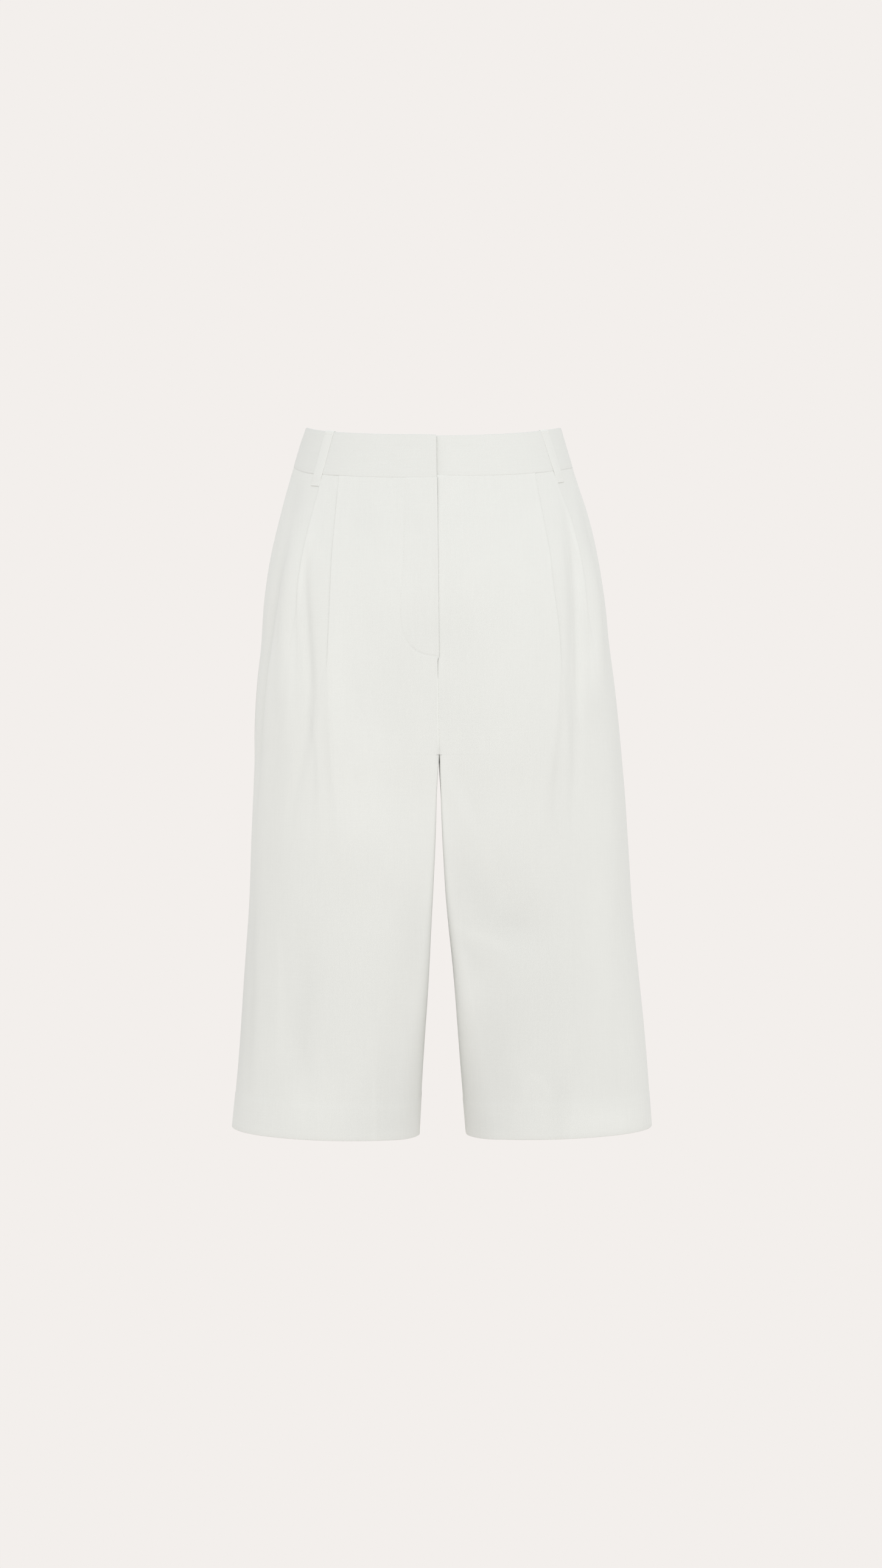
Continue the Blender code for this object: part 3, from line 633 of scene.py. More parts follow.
def rounded(controls, counts, arc_steps=3):
    """Points along a line, rounded at its corners (along, depth, radius), with counts of steps between."""
    points, radii = controls[:, :2], controls[:, 2]
    spans = np.diff(points, axis=0)
    lengths = np.maximum(np.linalg.norm(spans, axis=1), 1e-6)
    cuts = np.zeros((len(points), 2))
    for i in range(1, len(points) - 1):
        cuts[i, 0] = min(radii[i], 0.48 * lengths[i - 1])
        cuts[i, 1] = min(radii[i], 0.48 * lengths[i])
    made = []
    for i, span in enumerate(spans):
        start = points[i] + span * cuts[i, 1] / lengths[i]
        end = points[i + 1] - span * cuts[i + 1, 0] / lengths[i]
        made.append(start + (end - start) * np.linspace(0, 1, counts[i] + 1)[:, None])
        if i + 2 < len(points):
            corner = points[i + 1]
            after = corner + spans[i + 1] * cuts[i + 1, 1] / lengths[i + 1]
            t = np.linspace(0, 1, arc_steps + 1)[1:-1, None]
            made.append((1 - t) ** 2 * end + 2 * t * (1 - t) * corner + t**2 * after)
    return np.concatenate(made)


def pleat_stage(drop, release):
    stage = {
        name: float(np.interp(drop - release, STAGE_COLUMNS["past"], STAGE_COLUMNS[name]))
        for name in PleatStage._fields[1:]
    }
    stage["step"] *= 1 - SEWN_FLAT * (1 - ease(drop, BAND_HEIGHT, BAND_HEIGHT + 30))
    return stage


def pleat_columns(edge, stage):
    """A pleat's five corners from the side inwards, as (place along the form, depth, rounding)."""
    step, fold, soft = stage["step"], stage["fold"], stage["round"]
    upright = 0.5 * step * (1 - ease(abs(fold), 0.0, 6.0))
    return [
        (edge - stage["start"], 2 * step, 2.5 * soft),
        (edge - fold + stage["rise"], 2 * step, soft),
        (edge - fold, step + upright, soft),
        (edge, step - upright, soft),
        (edge - stage["rise"], 0.0, soft),
    ]


def pleat_edges(drop, side):
    """Where the inner and the outer pleat's edges lie along a front at a drop."""
    word = "left" if side == LEFT else "right"
    columns = [PLEAT_COLUMNS[f"{word}_{which}"] for which in ("inner", "outer")]
    outs = [smooth_through(PLEAT_COLUMNS["drop"], column, drop) for column in columns]
    return [float(Outline.at(drop, side).along_of(out)) for out in outs]


def front_controls(drop, side):
    """A front's corners at a drop, from its side seam's allowance to its centre seam's or its open edge."""
    outline = Outline.at(drop, side)
    edges = pleat_edges(drop, side)
    inner = pleat_columns(edges[0], pleat_stage(drop, INNER_RELEASE))
    outer = pleat_columns(edges[1], pleat_stage(drop, OUTER_RELEASE))
    (down_at, down, _), up_at = inner[0], edges[1]
    outer = [(along, depth + down * ramp(up_at - along, 0, up_at - down_at), r) for along, depth, r in outer]
    seam = outline.side_along - SEWN_GAP / 2
    controls = [(seam - ALLOWANCE, ALLOWANCE_DEPTH, 0), (seam, ALLOWANCE_DEPTH, 0.4), (seam, 0, SEWN_ROUND)]
    controls += outer + inner
    lapped = 1 - ramp(drop, FLY_LAP_END, (FLY_LAP_END + FLY_CLOSED) / 2)
    closed = ramp(drop, FLY_LAP_END, FLY_CLOSED)
    edge = CENTRE_GAP / 2
    strip_at = OPEN_STRIP + (CLOSED_STRIP - OPEN_STRIP) * closed
    strip = (strip_at, 0, STRIP_ROUND)
    sewn = [strip, (edge, 0, SEWN_ROUND / 2), (edge, ALLOWANCE_DEPTH, 0.4), (ALLOWANCE, ALLOWANCE_DEPTH, 0)]
    opened = {
        RIGHT: [strip, (1.0, -0.04, 0.4), (-0.1, -0.1, 0.3), (-FLY_OVER, -0.13, 0)],
        LEFT: [
            strip,
            (0.2, 0.36, 0.25),
            (-0.9, FLY_LAP_DEPTH - 0.1, 0.6),
            (-FLY_LAP * lapped, FLY_LAP_DEPTH, 0),
        ],
    }
    ends = [tuple(np.array(a) * (1 - closed) + np.array(b) * closed) for a, b in zip(opened[side], sewn)]
    wall = max(outline.front_wall, strip_at + END_WALL)
    corner = wall + max(outline.front_corner, END_CORNER)
    controls += [(corner, 0, STRIP_ROUND), (wall, 0, STRIP_ROUND)] + ends
    return np.array(controls, float)


def back_controls(drop, side):
    outline = Outline.at(drop, side)
    seam, edge = outline.side_along + SEWN_GAP / 2, outline.length - SEWN_GAP / 2
    wall = edge - max(outline.back_wall, END_WALL)
    corner = wall - max(outline.back_corner, END_CORNER)
    return np.array([
        (seam + ALLOWANCE, ALLOWANCE_DEPTH, 0),
        (seam, ALLOWANCE_DEPTH, 0.4),
        (seam, 0, SEWN_ROUND),
        (corner, 0, STRIP_ROUND),
        (wall, 0, STRIP_ROUND),
        (edge, 0, SEWN_ROUND),
        (edge, ALLOWANCE_DEPTH, 0.4),
        (edge - ALLOWANCE, ALLOWANCE_DEPTH, 0),
    ])


# Steps on each straight between the corners above.
FRONT_COUNTS = (3, 1, 20, 5, 1, 4, 1, 13, 5, 1, 4, 1, 28, 12, 9, 4, 1, 3)
BACK_COUNTS = (3, 1, 62, 12, 20, 1, 3)


# A panel's rows as (drop, depth added) where it comes out from under the waistband, and the drops between
# which the rows below are these steps apart, closer by the crotch.
TOP_ROWS = [(33, 1), (36, 0.9), (36.7, 0.7), (36.95, 0.35), (37.1, 0.16), (37.3, 0.05), (37.7, 0.01), (39, 0)]
ROW_STARTS = (41, *(CROTCH_DROP + past for past in (-22, -8, -4, 0, 10)), HEM_DROP - 2)
ROW_STEPS = (ROW_STEP, 1.4, 0.8, 0.3, 1.0, ROW_STEP)


def panel_levels():
    """A panel's rows from inside the waistband to the top of the hem's turn-up, as (drop, depth added)."""
    main = []
    for start, end, step in zip(ROW_STARTS, ROW_STARTS[1:], ROW_STEPS):
        main += [(drop, 0.0) for drop in np.linspace(start, end, round((end - start) / step), endpoint=False)]
    radius = ALLOWANCE_DEPTH / 2
    turned = [
        (HEM_DROP - radius + radius * math.sin(angle), radius * (1 - math.cos(angle)))
        for angle in np.linspace(0, math.pi, 6)
    ]
    inside = [(drop, ALLOWANCE_DEPTH) for drop in np.linspace(HEM_DROP - 3, HEM_TOP, 13)]
    return TOP_ROWS + main + turned + inside


# The turned-up hem stands out this much, from the first of these drops past its top to the second.
HEM_LEDGE, LEDGE_COMES = 0.3, (-1.5, 1.0)


def panel_grid(piece, controls_at, counts, side):
    """A panel's points, and its along, drop and across at each."""
    rows = []
    for drop, added in panel_levels():
        path = rounded(controls_at(drop, side), counts)
        outline = Outline.at(drop, side)
        if piece.startswith("back"):
            across = outline.length - path[:, 0] - outline.flat_back
        else:
            across = path[:, 0] - outline.flat_front
        ledge = -HEM_LEDGE * ease(drop - HEM_TOP, *LEDGE_COMES)
        rows.append((path[:, 0], np.full(len(path), drop), path[:, 1] + added + ledge, across))
    alongs, drops, depths, across = np.array(rows).transpose(1, 0, 2)
    depths = depths + relief(piece, across, drops)
    outlines = [Outline.at(drop, side) for drop in drops[:, 0]]
    grid = [outline.place(along, depth) for outline, along, depth in zip(outlines, alongs, depths)]
    return np.array(grid), alongs, drops, across


# A mark further from its line than this isn't drawn.
FAR = 30.0
PLEAT_LINE_GOES = (-40, 60)


def pleat_marks(side, alongs, drops):
    """Each point's distance from the nearest pleat's edge, and how strongly that edge's lines show there."""
    nearest, weight = np.full(alongs.shape, FAR), np.zeros(alongs.shape)
    for i, drop in enumerate(drops[:, 0]):
        for edge, release in zip(pleat_edges(drop, side), (INNER_RELEASE, OUTER_RELEASE)):
            away = alongs[i] - edge
            nearer = np.abs(away) < np.abs(nearest[i])
            nearest[i] = np.where(nearer, away, nearest[i])
            weight[i] = np.where(nearer, 1 - ease(drop - release, *PLEAT_LINE_GOES), weight[i])
    return nearest, weight


def panel_marks(piece, side, alongs, drops, across):
    """What the cloth's material draws from: tone, mostly painted light and shade, and distances to the
    stitching and the pleats' edges.
    """
    marks = {name: np.zeros(across.shape) for name in ("stitch_weight", "pleat_weight", "tone")}
    marks["stitch"] = marks["pleat"] = np.full(across.shape, FAR)
    tone = marks["tone"]
    tone += HEM_TONE * ease(drops, HEM_TOP - 2, HEM_TOP + 3)
    tone += HEM_LINE_TONE * bell(drops - HEM_TOP, HEM_LINE_WIDTH)
    # Painted light and shade, patch by patch.
    for shade in PAINTED_SHADES.get(piece, ()):
        over, down = (across - shade.across) / shade.reach_across, (drops - shade.drop) / shade.reach_down
        tone += shade.tone * np.exp(-(over**2 + down**2))
    for streak in STREAKS.get(piece, ()):
        distance, where = distance_to(smooth_path(streak.points), across, drops)
        tone += streak.tone * fade(where) * bell(distance, streak.width)
    if piece in STITCHED:
        distance, where = distance_to(smooth_path(STITCHED[piece], STITCHED_STEPS), across, drops)
        marks["stitch"] = np.clip(distance, -FAR, FAR)
        shows = FLY_LINE_FAINT + (1 - FLY_LINE_FAINT) * ease(where, *FLY_LINE_GAINS)
        if piece.startswith("back"):
            shows = 1 - ease(where, *DART_ENDS)
        marks["stitch_weight"] = LINE_WEIGHT[piece] * shows
    if piece.startswith("front"):
        leg = ease(drops, CROTCH_DROP, CROTCH_DROP + 15)
        # Painted light along the inner leg's edge, against its shade.
        tone += EDGE_PAINTED_LIGHT[side] * (1 - ease(across, *EDGE_REACH)) * leg
        sewn = ease(drops, FLY_CLOSED - 12, FLY_CLOSED + 4) * (1 - ease(drops, CROTCH_DROP - 15, CROTCH_DROP))
        # Painted light along the closed centre seam.
        tone += CENTRE_PAINTED_LIGHT * sewn * bell(across, CENTRE_WIDTH)
        # A painted shadow line beside the right front's open edge and a painted highlight beside the left's.
        lapped = 1 - CLOSED_SHARE * ease(drops, FLY_LAP_END - 10, FLY_CLOSED)
        fly = FLY_PAINTED_SHADOW_HIGHLIGHT[side]
        tone += lapped * fly.tone * bell(across - fly.across, fly.width)
        marks["pleat"], marks["pleat_weight"] = pleat_marks(side, alongs, drops)
    return marks


def new_mesh(name, grid, uv, thickness, material, attributes=None):
    """An object through a grid of points, given thickness by Solidify."""
    rows, columns = grid.shape[:2]
    index = np.arange(rows * columns).reshape(rows, columns)
    left, right = index[:, :-1], index[:, 1:]
    quads = np.stack([left[:-1], left[1:], right[1:], right[:-1]], -1).reshape(-1, 4)
    mesh = bpy.data.meshes.new(name)
    mesh.vertices.add(rows * columns)
    mesh.vertices.foreach_set("co", (grid.reshape(-1, 3) * MM).astype(np.float32).ravel())
    mesh.loops.add(quads.size)
    mesh.loops.foreach_set("vertex_index", quads.ravel().astype(np.int32))
    mesh.polygons.add(len(quads))
    mesh.polygons.foreach_set("loop_start", np.arange(0, quads.size, 4, dtype=np.int32))
    mesh.update(calc_edges=True)
    layer = mesh.uv_layers.new(name="cloth")
    flat_uv = uv.reshape(-1, 2)[quads.ravel()]
    layer.data.foreach_set("uv", (flat_uv * MM).astype(np.float32).ravel())
    for key, values in (attributes or {}).items():
        attribute = mesh.attributes.new(key, "FLOAT", "POINT")
        attribute.data.foreach_set("value", values.astype(np.float32).ravel())
    mesh.polygons.foreach_set("use_smooth", np.ones(len(quads), bool))
    mesh.materials.append(material)
    piece = bpy.data.objects.new(name, mesh)
    bpy.context.scene.collection.objects.link(piece)
    wall = piece.modifiers.new("Cloth", "SOLIDIFY")
    wall.thickness = thickness * MM
    wall.offset = 0.0
    wall.use_even_offset = False
    return piece


def face_outwards(piece, centre_of, outer=slice(None)):
    """Turns a piece's faces round if most of its outer layer's point inwards."""
    mesh = piece.data
    count = len(mesh.polygons)
    normals, centres = np.zeros(count * 3, np.float32), np.zeros(count * 3, np.float32)
    mesh.polygons.foreach_get("normal", normals)
    mesh.polygons.foreach_get("center", centres)
    centres = centres.reshape(-1, 3)
    outward = centres - centre_of(centres)
    if (normals.reshape(-1, 3) * outward)[outer].sum(1).mean() < 0:
        mesh.flip_normals()


# ---------------------------------------------------------------- materials

# Lines that the cloth's material draws at a distance from a mark, with how much lighter and higher they
# are: painted shade in the stitched groove and a painted highlight on the ridge beside it, and painted
# highlights along the pleats' edges.
Line = namedtuple("Line", "middle width tone height")
MARK_LINES = {
    "stitch": [Line(0.0, 0.75, -0.030, -0.12), Line(1.9, 1.0, 0.012, 0.05)],
    "pleat": [Line(-2.4, 2.0, 0.012, 0.0), Line(-8.0, 7.0, 0.008, 0.0)],
}

# Unevenness of the linen: its size across and down, its detail and how much it shades the cloth.
Uneven = namedtuple("Uneven", "across down detail shade")
WARP, WEFT, MOTTLE = Uneven(1.6, 34, 3.0, 0.030), Uneven(26, 1.5, 2.0, 0.016), Uneven(22, 45, 4.0, 0.022)
THREAD_ACROSS, THREAD_DOWN, WEFT_SHARE = 0.62, 0.68, 0.6
WEAVE_BUMP = {"Distance": 0.00004, "Strength": 0.45}
SLUB_BUMP = {"Distance": 0.00012, "Strength": 0.6}


def socket(tree, kind, inputs=None, settings=None, output=0):
    """Adds a node, sets or links its inputs by name or place, and returns one of its outputs."""
    node = tree.nodes.new(kind)
    for key, value in (settings or {}).items():
        setattr(node, key, value)
    for key, value in (inputs or {}).items():
        if isinstance(value, bpy.types.NodeSocket):
            tree.links.new(value, node.inputs[key])
        else:
            node.inputs[key].default_value = value
    return node.outputs[output]


def maths(tree, operation, *values):
    return socket(tree, "ShaderNodeMath", dict(enumerate(values)), {"operation": operation})


def cloth_material(name, colour, see_through=0.1):
    """Plain-woven linen with slubs: weave and slubs as bump, faint streaks in its colour, and a soft nap."""
    material = bpy.data.materials.new(name)
    material.use_nodes = True
    tree = material.node_tree
    tree.nodes.clear()
    uv = socket(tree, "ShaderNodeUVMap", settings={"uv_map": "cloth"})
    split = tree.nodes.new("ShaderNodeSeparateXYZ")
    tree.links.new(uv, split.inputs[0])
    across, down = split.outputs[0], split.outputs[1]

    def streaks(uneven):
        over = maths(tree, "DIVIDE", across, uneven.across * MM)
        below = maths(tree, "DIVIDE", down, uneven.down * MM)
        place = socket(tree, "ShaderNodeCombineXYZ", {0: over, 1: below})
        return socket(tree, "ShaderNodeTexNoise", {"Vector": place, "Scale": 1.0, "Detail": uneven.detail})

    warp, weft, mottle = streaks(WARP), streaks(WEFT), streaks(MOTTLE)
    thread_across = maths(tree, "SINE", maths(tree, "MULTIPLY", across, math.pi / (THREAD_ACROSS * MM)))
    thread_down = maths(tree, "SINE", maths(tree, "MULTIPLY", down, math.pi / (THREAD_DOWN * MM)))
    weave = maths(tree, "MULTIPLY", thread_across, thread_down)
    slubs = maths(tree, "ADD", warp, maths(tree, "MULTIPLY", weft, WEFT_SHARE))
    shade = 1.0
    for streaked, uneven in ((warp, WARP), (weft, WEFT), (mottle, MOTTLE)):
        shade = maths(tree, "MULTIPLY_ADD", maths(tree, "SUBTRACT", streaked, 0.5), uneven.shade, shade)
    normal = socket(tree, "ShaderNodeBump", {"Height": weave, **WEAVE_BUMP})
    normal = socket(tree, "ShaderNodeBump", {"Height": slubs, **SLUB_BUMP, "Normal": normal})

    def mark(attribute):
        return socket(tree, "ShaderNodeAttribute", settings={"attribute_name": attribute}, output=2)

    def peak(distance, middle, width):
        """1 where the distance is at the middle, falling to 0 beyond the width."""
        away = maths(tree, "DIVIDE", maths(tree, "SUBTRACT", distance, middle), width)
        return maths(tree, "EXPONENT", maths(tree, "MULTIPLY", maths(tree, "MULTIPLY", away, away), -1.0))

    # The tone attribute and these lines paint light and shade into the cloth's colour.
    tone, height = maths(tree, "ADD", mark("tone"), 1.0), 0.0
    for mark_name, lines in MARK_LINES.items():
        distance, weight = mark(mark_name), mark(mark_name + "_weight")
        for line in lines:
            drawn = maths(tree, "MULTIPLY", peak(distance, line.middle, line.width), weight)
            tone = maths(tree, "MULTIPLY_ADD", drawn, line.tone, tone)
            height = maths(tree, "MULTIPLY_ADD", drawn, line.height, height)
    shade = maths(tree, "MULTIPLY", shade, tone)
    normal = socket(tree, "ShaderNodeBump", {"Height": height, "Distance": MM, "Normal": normal})
    paint = socket(tree, "ShaderNodeVectorMath", {0: colour, "Scale": shade}, {"operation": "SCALE"})
    surface = tree.nodes.new("ShaderNodeBsdfPrincipled")
    surface.inputs["Roughness"].default_value = 0.88
    surface.inputs["Specular IOR Level"].default_value = 0.25
    surface.inputs["Sheen Weight"].default_value = 0.12
    surface.inputs["Sheen Roughness"].default_value = 0.45
    tree.links.new(paint, surface.inputs["Base Color"])
    tree.links.new(normal, surface.inputs["Normal"])
    through = socket(tree, "ShaderNodeBsdfTranslucent", {"Color": paint, "Normal": normal})
    mixed = socket(tree, "ShaderNodeMixShader", {0: see_through, 1: surface.outputs[0], 2: through})
    output = tree.nodes.new("ShaderNodeOutputMaterial")
    tree.links.new(mixed, output.inputs["Surface"])
    return material


def plain_material(name, colour, roughness, metallic=0.0, grain=0.0):
    material = bpy.data.materials.new(name)
    material.use_nodes = True
    tree = material.node_tree
    surface = tree.nodes["Principled BSDF"]
    surface.inputs["Metallic"].default_value = metallic
    place = socket(tree, "ShaderNodeTexCoord", output=3)
    speckle = socket(tree, "ShaderNodeTexNoise", {"Vector": place, "Scale": 900.0, "Detail": 3.0})
    shade = maths(tree, "MULTIPLY_ADD", maths(tree, "SUBTRACT", speckle, 0.5), grain, 1.0)
    paint = socket(tree, "ShaderNodeVectorMath", {0: colour, "Scale": shade}, {"operation": "SCALE"})
    tree.links.new(paint, surface.inputs["Base Color"])
    rough = maths(tree, "MULTIPLY_ADD", maths(tree, "SUBTRACT", speckle, 0.5), 0.2, roughness)
    tree.links.new(rough, surface.inputs["Roughness"])
    bumped = socket(tree, "ShaderNodeBump", {"Height": speckle, "Distance": 0.00005, "Strength": 0.5})
    tree.links.new(bumped, surface.inputs["Normal"])
    return material


# ---------------------------------------------------------------- pieces

LINEN = (0.829, 0.836, 0.804)
THREAD = (0.80, 0.80, 0.765)
TAPE = (0.74, 0.74, 0.70)
STEEL = (0.55, 0.55, 0.56)

# The height where the trunk parts into legs and the middles of all three, in metres.
LEGS_BELOW, LEGS_PART_AT, LEG_OUT, MIDDLE_Y = -0.3, 0.005, 0.095, 0.01


def leg_centres(points):
    """The middle of the leg, or of the trunk, that each point is nearest to, for telling out from in."""
    centre = np.zeros_like(points)
    below = points[:, 2] < LEGS_BELOW
    centre[below, 0] = np.sign(points[below, 0] - LEGS_PART_AT) * LEG_OUT
    centre[:, 1] = MIDDLE_Y
    centre[:, 2] = points[:, 2]
    return centre


def add_panel(piece, controls_at, counts, side, material):
    grid, alongs, drops, across = panel_grid(piece, controls_at, counts, side)
    marks = panel_marks(piece, side, alongs, drops, across)
    uv = np.stack([across, drops], -1)
    made = new_mesh(piece + "_cloth", grid, uv, SHELL, material, attributes=marks)
    face_outwards(made, leg_centres)
    finish_sheet(made, piece)


def finish_sheet(made, node):
    """Attaches a sheet to the root and hides the node that it stands for."""
    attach(made, "root")
    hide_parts(node)


# ---------------------------------------------------------------- waistband

BAND_CENTRE = 0.6
BAND_HALF = 0.8
BAND_FOLD = 0.24
BAND_SEWN_IN = 0.14
BAND_OVER = 1.0
BAND_UNDER = 34.0
BAND_INNER_END = 35.9
BAND_ALLOWANCE = 6.0
BAND_COLUMN_STEP = 2.4
LEFT_TOP_DROP, LEFT_TOP_FADE = 0.8, 60.0
SIDE_TOP_DROP = 1.6
END_CORNER_RADIUS = 1.6
# Painted shade along the waistband's top fold.
TOP_FOLD_PAINTED_SHADE = -0.08
CLOTH_WAVE = 0.12

# The left half's front end lies deeper by these amounts, each growing between two places along it.
LEFT_DEEPER = ((1.1, 0.5, 13), (1.9, -4, 0.3))


def band_centre(along, side):
    """The depth of a half of the waistband's middle. Near the centre front one end rises over the other."""
    if side == RIGHT:
        return BAND_CENTRE - BAND_END_RISE * (1 - ease(along, *BAND_END_RISES))
    return BAND_CENTRE + sum(deeper * (1 - ease(along, *places)) for deeper, *places in LEFT_DEEPER)


def band_profile():
    """The waistband's rows as (drop, depth from its middle): up inside, over the top, down and under."""
    half, fold, inner_end = BAND_HALF, BAND_FOLD, BAND_INNER_END
    rows = [(inner_end - 2, half - 0.4), (inner_end, half - 0.35), (inner_end + 0.25, half - 0.15)]
    rows += [(drop, half) for drop in np.linspace(inner_end, 1.6, 16)]
    rows += [(half + 0.3 - half * math.sin(a), half * math.cos(a)) for a in np.linspace(0, math.pi, 9)]
    outer_start = len(rows)
    rows += [(drop, -half) for drop in np.linspace(2.0, BAND_HEIGHT - 0.8, 26)]
    outer_end = len(rows)
    middle = BAND_HEIGHT - 0.05 - fold
    rows += [
        (middle + fold * math.sin(a), -half + fold - fold * math.cos(a)) for a in np.linspace(0.3, math.pi, 6)
    ]
    rows += [(BAND_HEIGHT - 2, -half + 2 * fold), (BAND_HEIGHT - BAND_ALLOWANCE, -half + 2 * fold + 0.05)]
    return np.array(rows), slice(outer_start, outer_end)


def add_waistband(word, side, material):
    """Half of the waistband: one sheet folded along its top, from the centre front to the centre back."""
    rows, outer = band_profile()
    whole = Outline.at(BAND_HEIGHT, side).length
    beside = Outline.at(BAND_HEIGHT, side).side_along
    start = -BAND_OVER if side == RIGHT else -BAND_UNDER
    columns = np.linspace(start + 1.2, whole - 0.6, round((whole - start) / BAND_COLUMN_STEP))
    first = start + BAND_HALF * (1 - np.cos(np.linspace(0, math.pi / 2, 6)))
    last = whole - np.array([0.35, 0.15, 0.04, 0.0])
    columns = np.concatenate([first, columns, last])
    closing = np.ones(len(columns))
    closing[:6] = np.maximum(np.sin(np.linspace(0, math.pi / 2, 6)), 0.03)
    closing[-4:] = (0.95, 0.8, 0.5, 0.12)
    seed = 40 + side
    grid = []
    for drop, offset in rows:
        scale = Outline.at(drop, side).length / whole
        alongs = np.where(columns > 0, columns * scale, columns)
        sewn_in = BAND_SEWN_IN * ease(drop, BAND_HEIGHT - 3.5, BAND_HEIGHT)
        depths = band_centre(columns, side) + offset * closing + sewn_in
        depths = depths + CLOTH_WAVE * noise(columns / 34 + 20, np.full(len(columns), drop / 22 + 20), seed)
        top = 1 - ramp(drop, 0, 12)
        low = CLOTH_WAVE * noise(columns / 47 + 9, np.full(len(columns), 3.5), seed + 3)
        if side == LEFT:
            low = low + LEFT_TOP_DROP * (1 - ease(columns, 0, LEFT_TOP_FADE))
        else:
            low = low + SIDE_TOP_DROP * np.exp(-(((columns - beside) / 8) ** 2))
        corner = 1 - ramp(columns - start, 0, END_CORNER_RADIUS)
        low = low + END_CORNER_RADIUS * (1 - np.sqrt(1 - corner**2))
        grid.append(Outline.at(drop, side).place(alongs, depths, drop + low * top))
    grid = np.array(grid)
    lengths = np.concatenate([[0], np.cumsum(np.hypot(*np.diff(rows, axis=0).T))])
    uv = np.stack(np.broadcast_arrays(lengths[:, None], columns[None, :] + 400), -1)
    # Painted shade over each half of the waistband, darker still along its top fold.
    fold = BAND_PAINTED_SHADE[side] + np.exp(-((rows[:, :1] / 0.9) ** 2)) * TOP_FOLD_PAINTED_SHADE
    tone = np.broadcast_to(fold, grid.shape[:2])
    made = new_mesh(f"waistband_{word}_cloth", grid, uv, SHELL, material, attributes={"tone": tone})
    face_outwards(made, leg_centres, slice(outer.start * (len(columns) - 1), outer.stop * (len(columns) - 1)))
    finish_sheet(made, f"waistband_{word}")


# ---------------------------------------------------------------- belt loops

BeltLoop = namedtuple("BeltLoop", "name side half top_share bottom_share")
BELT_LOOPS = [
    BeltLoop("belt_loop_front_right", RIGHT, "front", 0.815, 0.832),
    BeltLoop("belt_loop_front_left", LEFT, "front", 0.836, 0.858),
    BeltLoop("belt_loop_back_right", RIGHT, "back", 0.65, 0.65),
    BeltLoop("belt_loop_back_left", LEFT, "back", 0.67, 0.67),
    BeltLoop("belt_loop_centre_back", RIGHT, "back", 0.0, 0.0),
]
LOOP_WIDTH, LOOP_THICK = 11.0, 0.7
LOOP_BOTTOM = BAND_HEIGHT + 11.0
LOOP_LIES_AT, LOOP_BOW, LOOP_END_SINK = 0.68, 0.1, 0.58
LOOP_SINKS = (38, 46)
LOOP_EDGE_TURN = 0.42
LOOP_COLUMNS = (-5.5, -5.3, -4.8, -4.2, -3.8, -3.4, -2.6, -1.3, 0.0, 1.3, 2.6, 3.4, 3.8, 4.2, 4.8, 5.3, 5.5)
LOOP_STITCH_AT, LOOP_STITCH_DEPTH = 3.8, 0.13
LOOP_TOP_ROWS = ((0.08, 1.45), (-0.15, 1.05), (-0.23, 0.6), (-0.15, 0.14), (0.16, -0.34), (0.6, -0.62))


def loop_middle(loop, drop):
    """Where a belt loop's middle lies along the outline at a drop."""
    outline = Outline.at(drop, loop.side)
    if loop.top_share == 0:
        return outline, outline.length
    share = loop.top_share + (loop.bottom_share - loop.top_share) * ramp(drop, 0, LOOP_BOTTOM)
    behind = outline.along > outline.side_along
    chosen = behind if loop.half == "back" else ~behind
    outs = (outline.points[chosen, 0] - outline.mid) * loop.side
    order = np.argsort(outs)
    out = share * abs(outline.out - outline.mid)
    return outline, float(np.interp(out, outs[order], outline.along[chosen][order]))


def loop_point(loop, drop, across, depth):
    outline, middle = loop_middle(loop, max(drop, 0.0))
    return outline.place(np.asarray(middle + across), np.asarray(depth), drop)


def add_belt_loop(loop, cloth, thread):
    """A belt loop: a folded strip turned over the waistband's top, bowed out and tacked down below."""
    columns = np.array(LOOP_COLUMNS)
    down = np.concatenate([np.linspace(1.0, LOOP_BOTTOM - 0.6, 30), [LOOP_BOTTOM - 0.25, LOOP_BOTTOM]])
    rows = list(LOOP_TOP_ROWS)
    for drop in down:
        bow = LOOP_BOW * math.sin(math.pi * ramp(drop, 0, LOOP_BOTTOM)) ** 0.8
        rows.append((drop, -(LOOP_LIES_AT + bow) + LOOP_END_SINK * ease(drop, *LOOP_SINKS)))
    groove = LOOP_STITCH_DEPTH * np.exp(-(((np.abs(columns) - LOOP_STITCH_AT) / 0.45) ** 2))
    groove = groove + LOOP_EDGE_TURN * ramp(np.abs(columns), 4.4, 5.5) ** 2
    grid = np.array([loop_point(loop, drop, columns, depth + groove) for drop, depth in rows])
    lengths = np.concatenate([[0], np.cumsum(np.hypot(*np.diff(np.array(rows), axis=0).T))])
    uv = np.stack(np.broadcast_arrays(columns[None, :] + 30, lengths[:, None]), -1)
    made = new_mesh(loop.name + "_cloth", grid, uv, LOOP_THICK, cloth)
    face_outwards(made, leg_centres)
    rounding = made.modifiers.new("Rounding", "SUBSURF")
    rounding.levels = rounding.render_levels = 1
    finish_sheet(made, loop.name)
    tacks = []
    for tack_drop in (2.4, LOOP_BOTTOM - 2.2):
        depth = LOOP_END_SINK * ease(tack_drop, *LOOP_SINKS) - LOOP_LIES_AT - LOOP_THICK / 2 + 0.05
        for across in np.arange(-TACK_REACH, TACK_REACH + 0.01, TACK_PITCH):
            tacks.append([
                loop_point(loop, tack_drop + TACK_HALF * (2 * k - 1), across + TACK_PITCH / 2 * k, depth)
                for k in np.linspace(0, 1, 4)
            ])
    add_threads(loop.name + "_tacks", tacks, thread)


# ---------------------------------------------------------------- stitches

TACK_PITCH, TACK_HALF, TACK_REACH = 0.62, 0.8, 4.6
STITCH_PITCH, STITCH_LENGTH = 3.0, 2.3
STITCH_ENDS_SINK, STITCH_LIES_ABOVE = 0.10, 0.03
THREAD_RADIUS, THREAD_SIDES = 0.16, 6


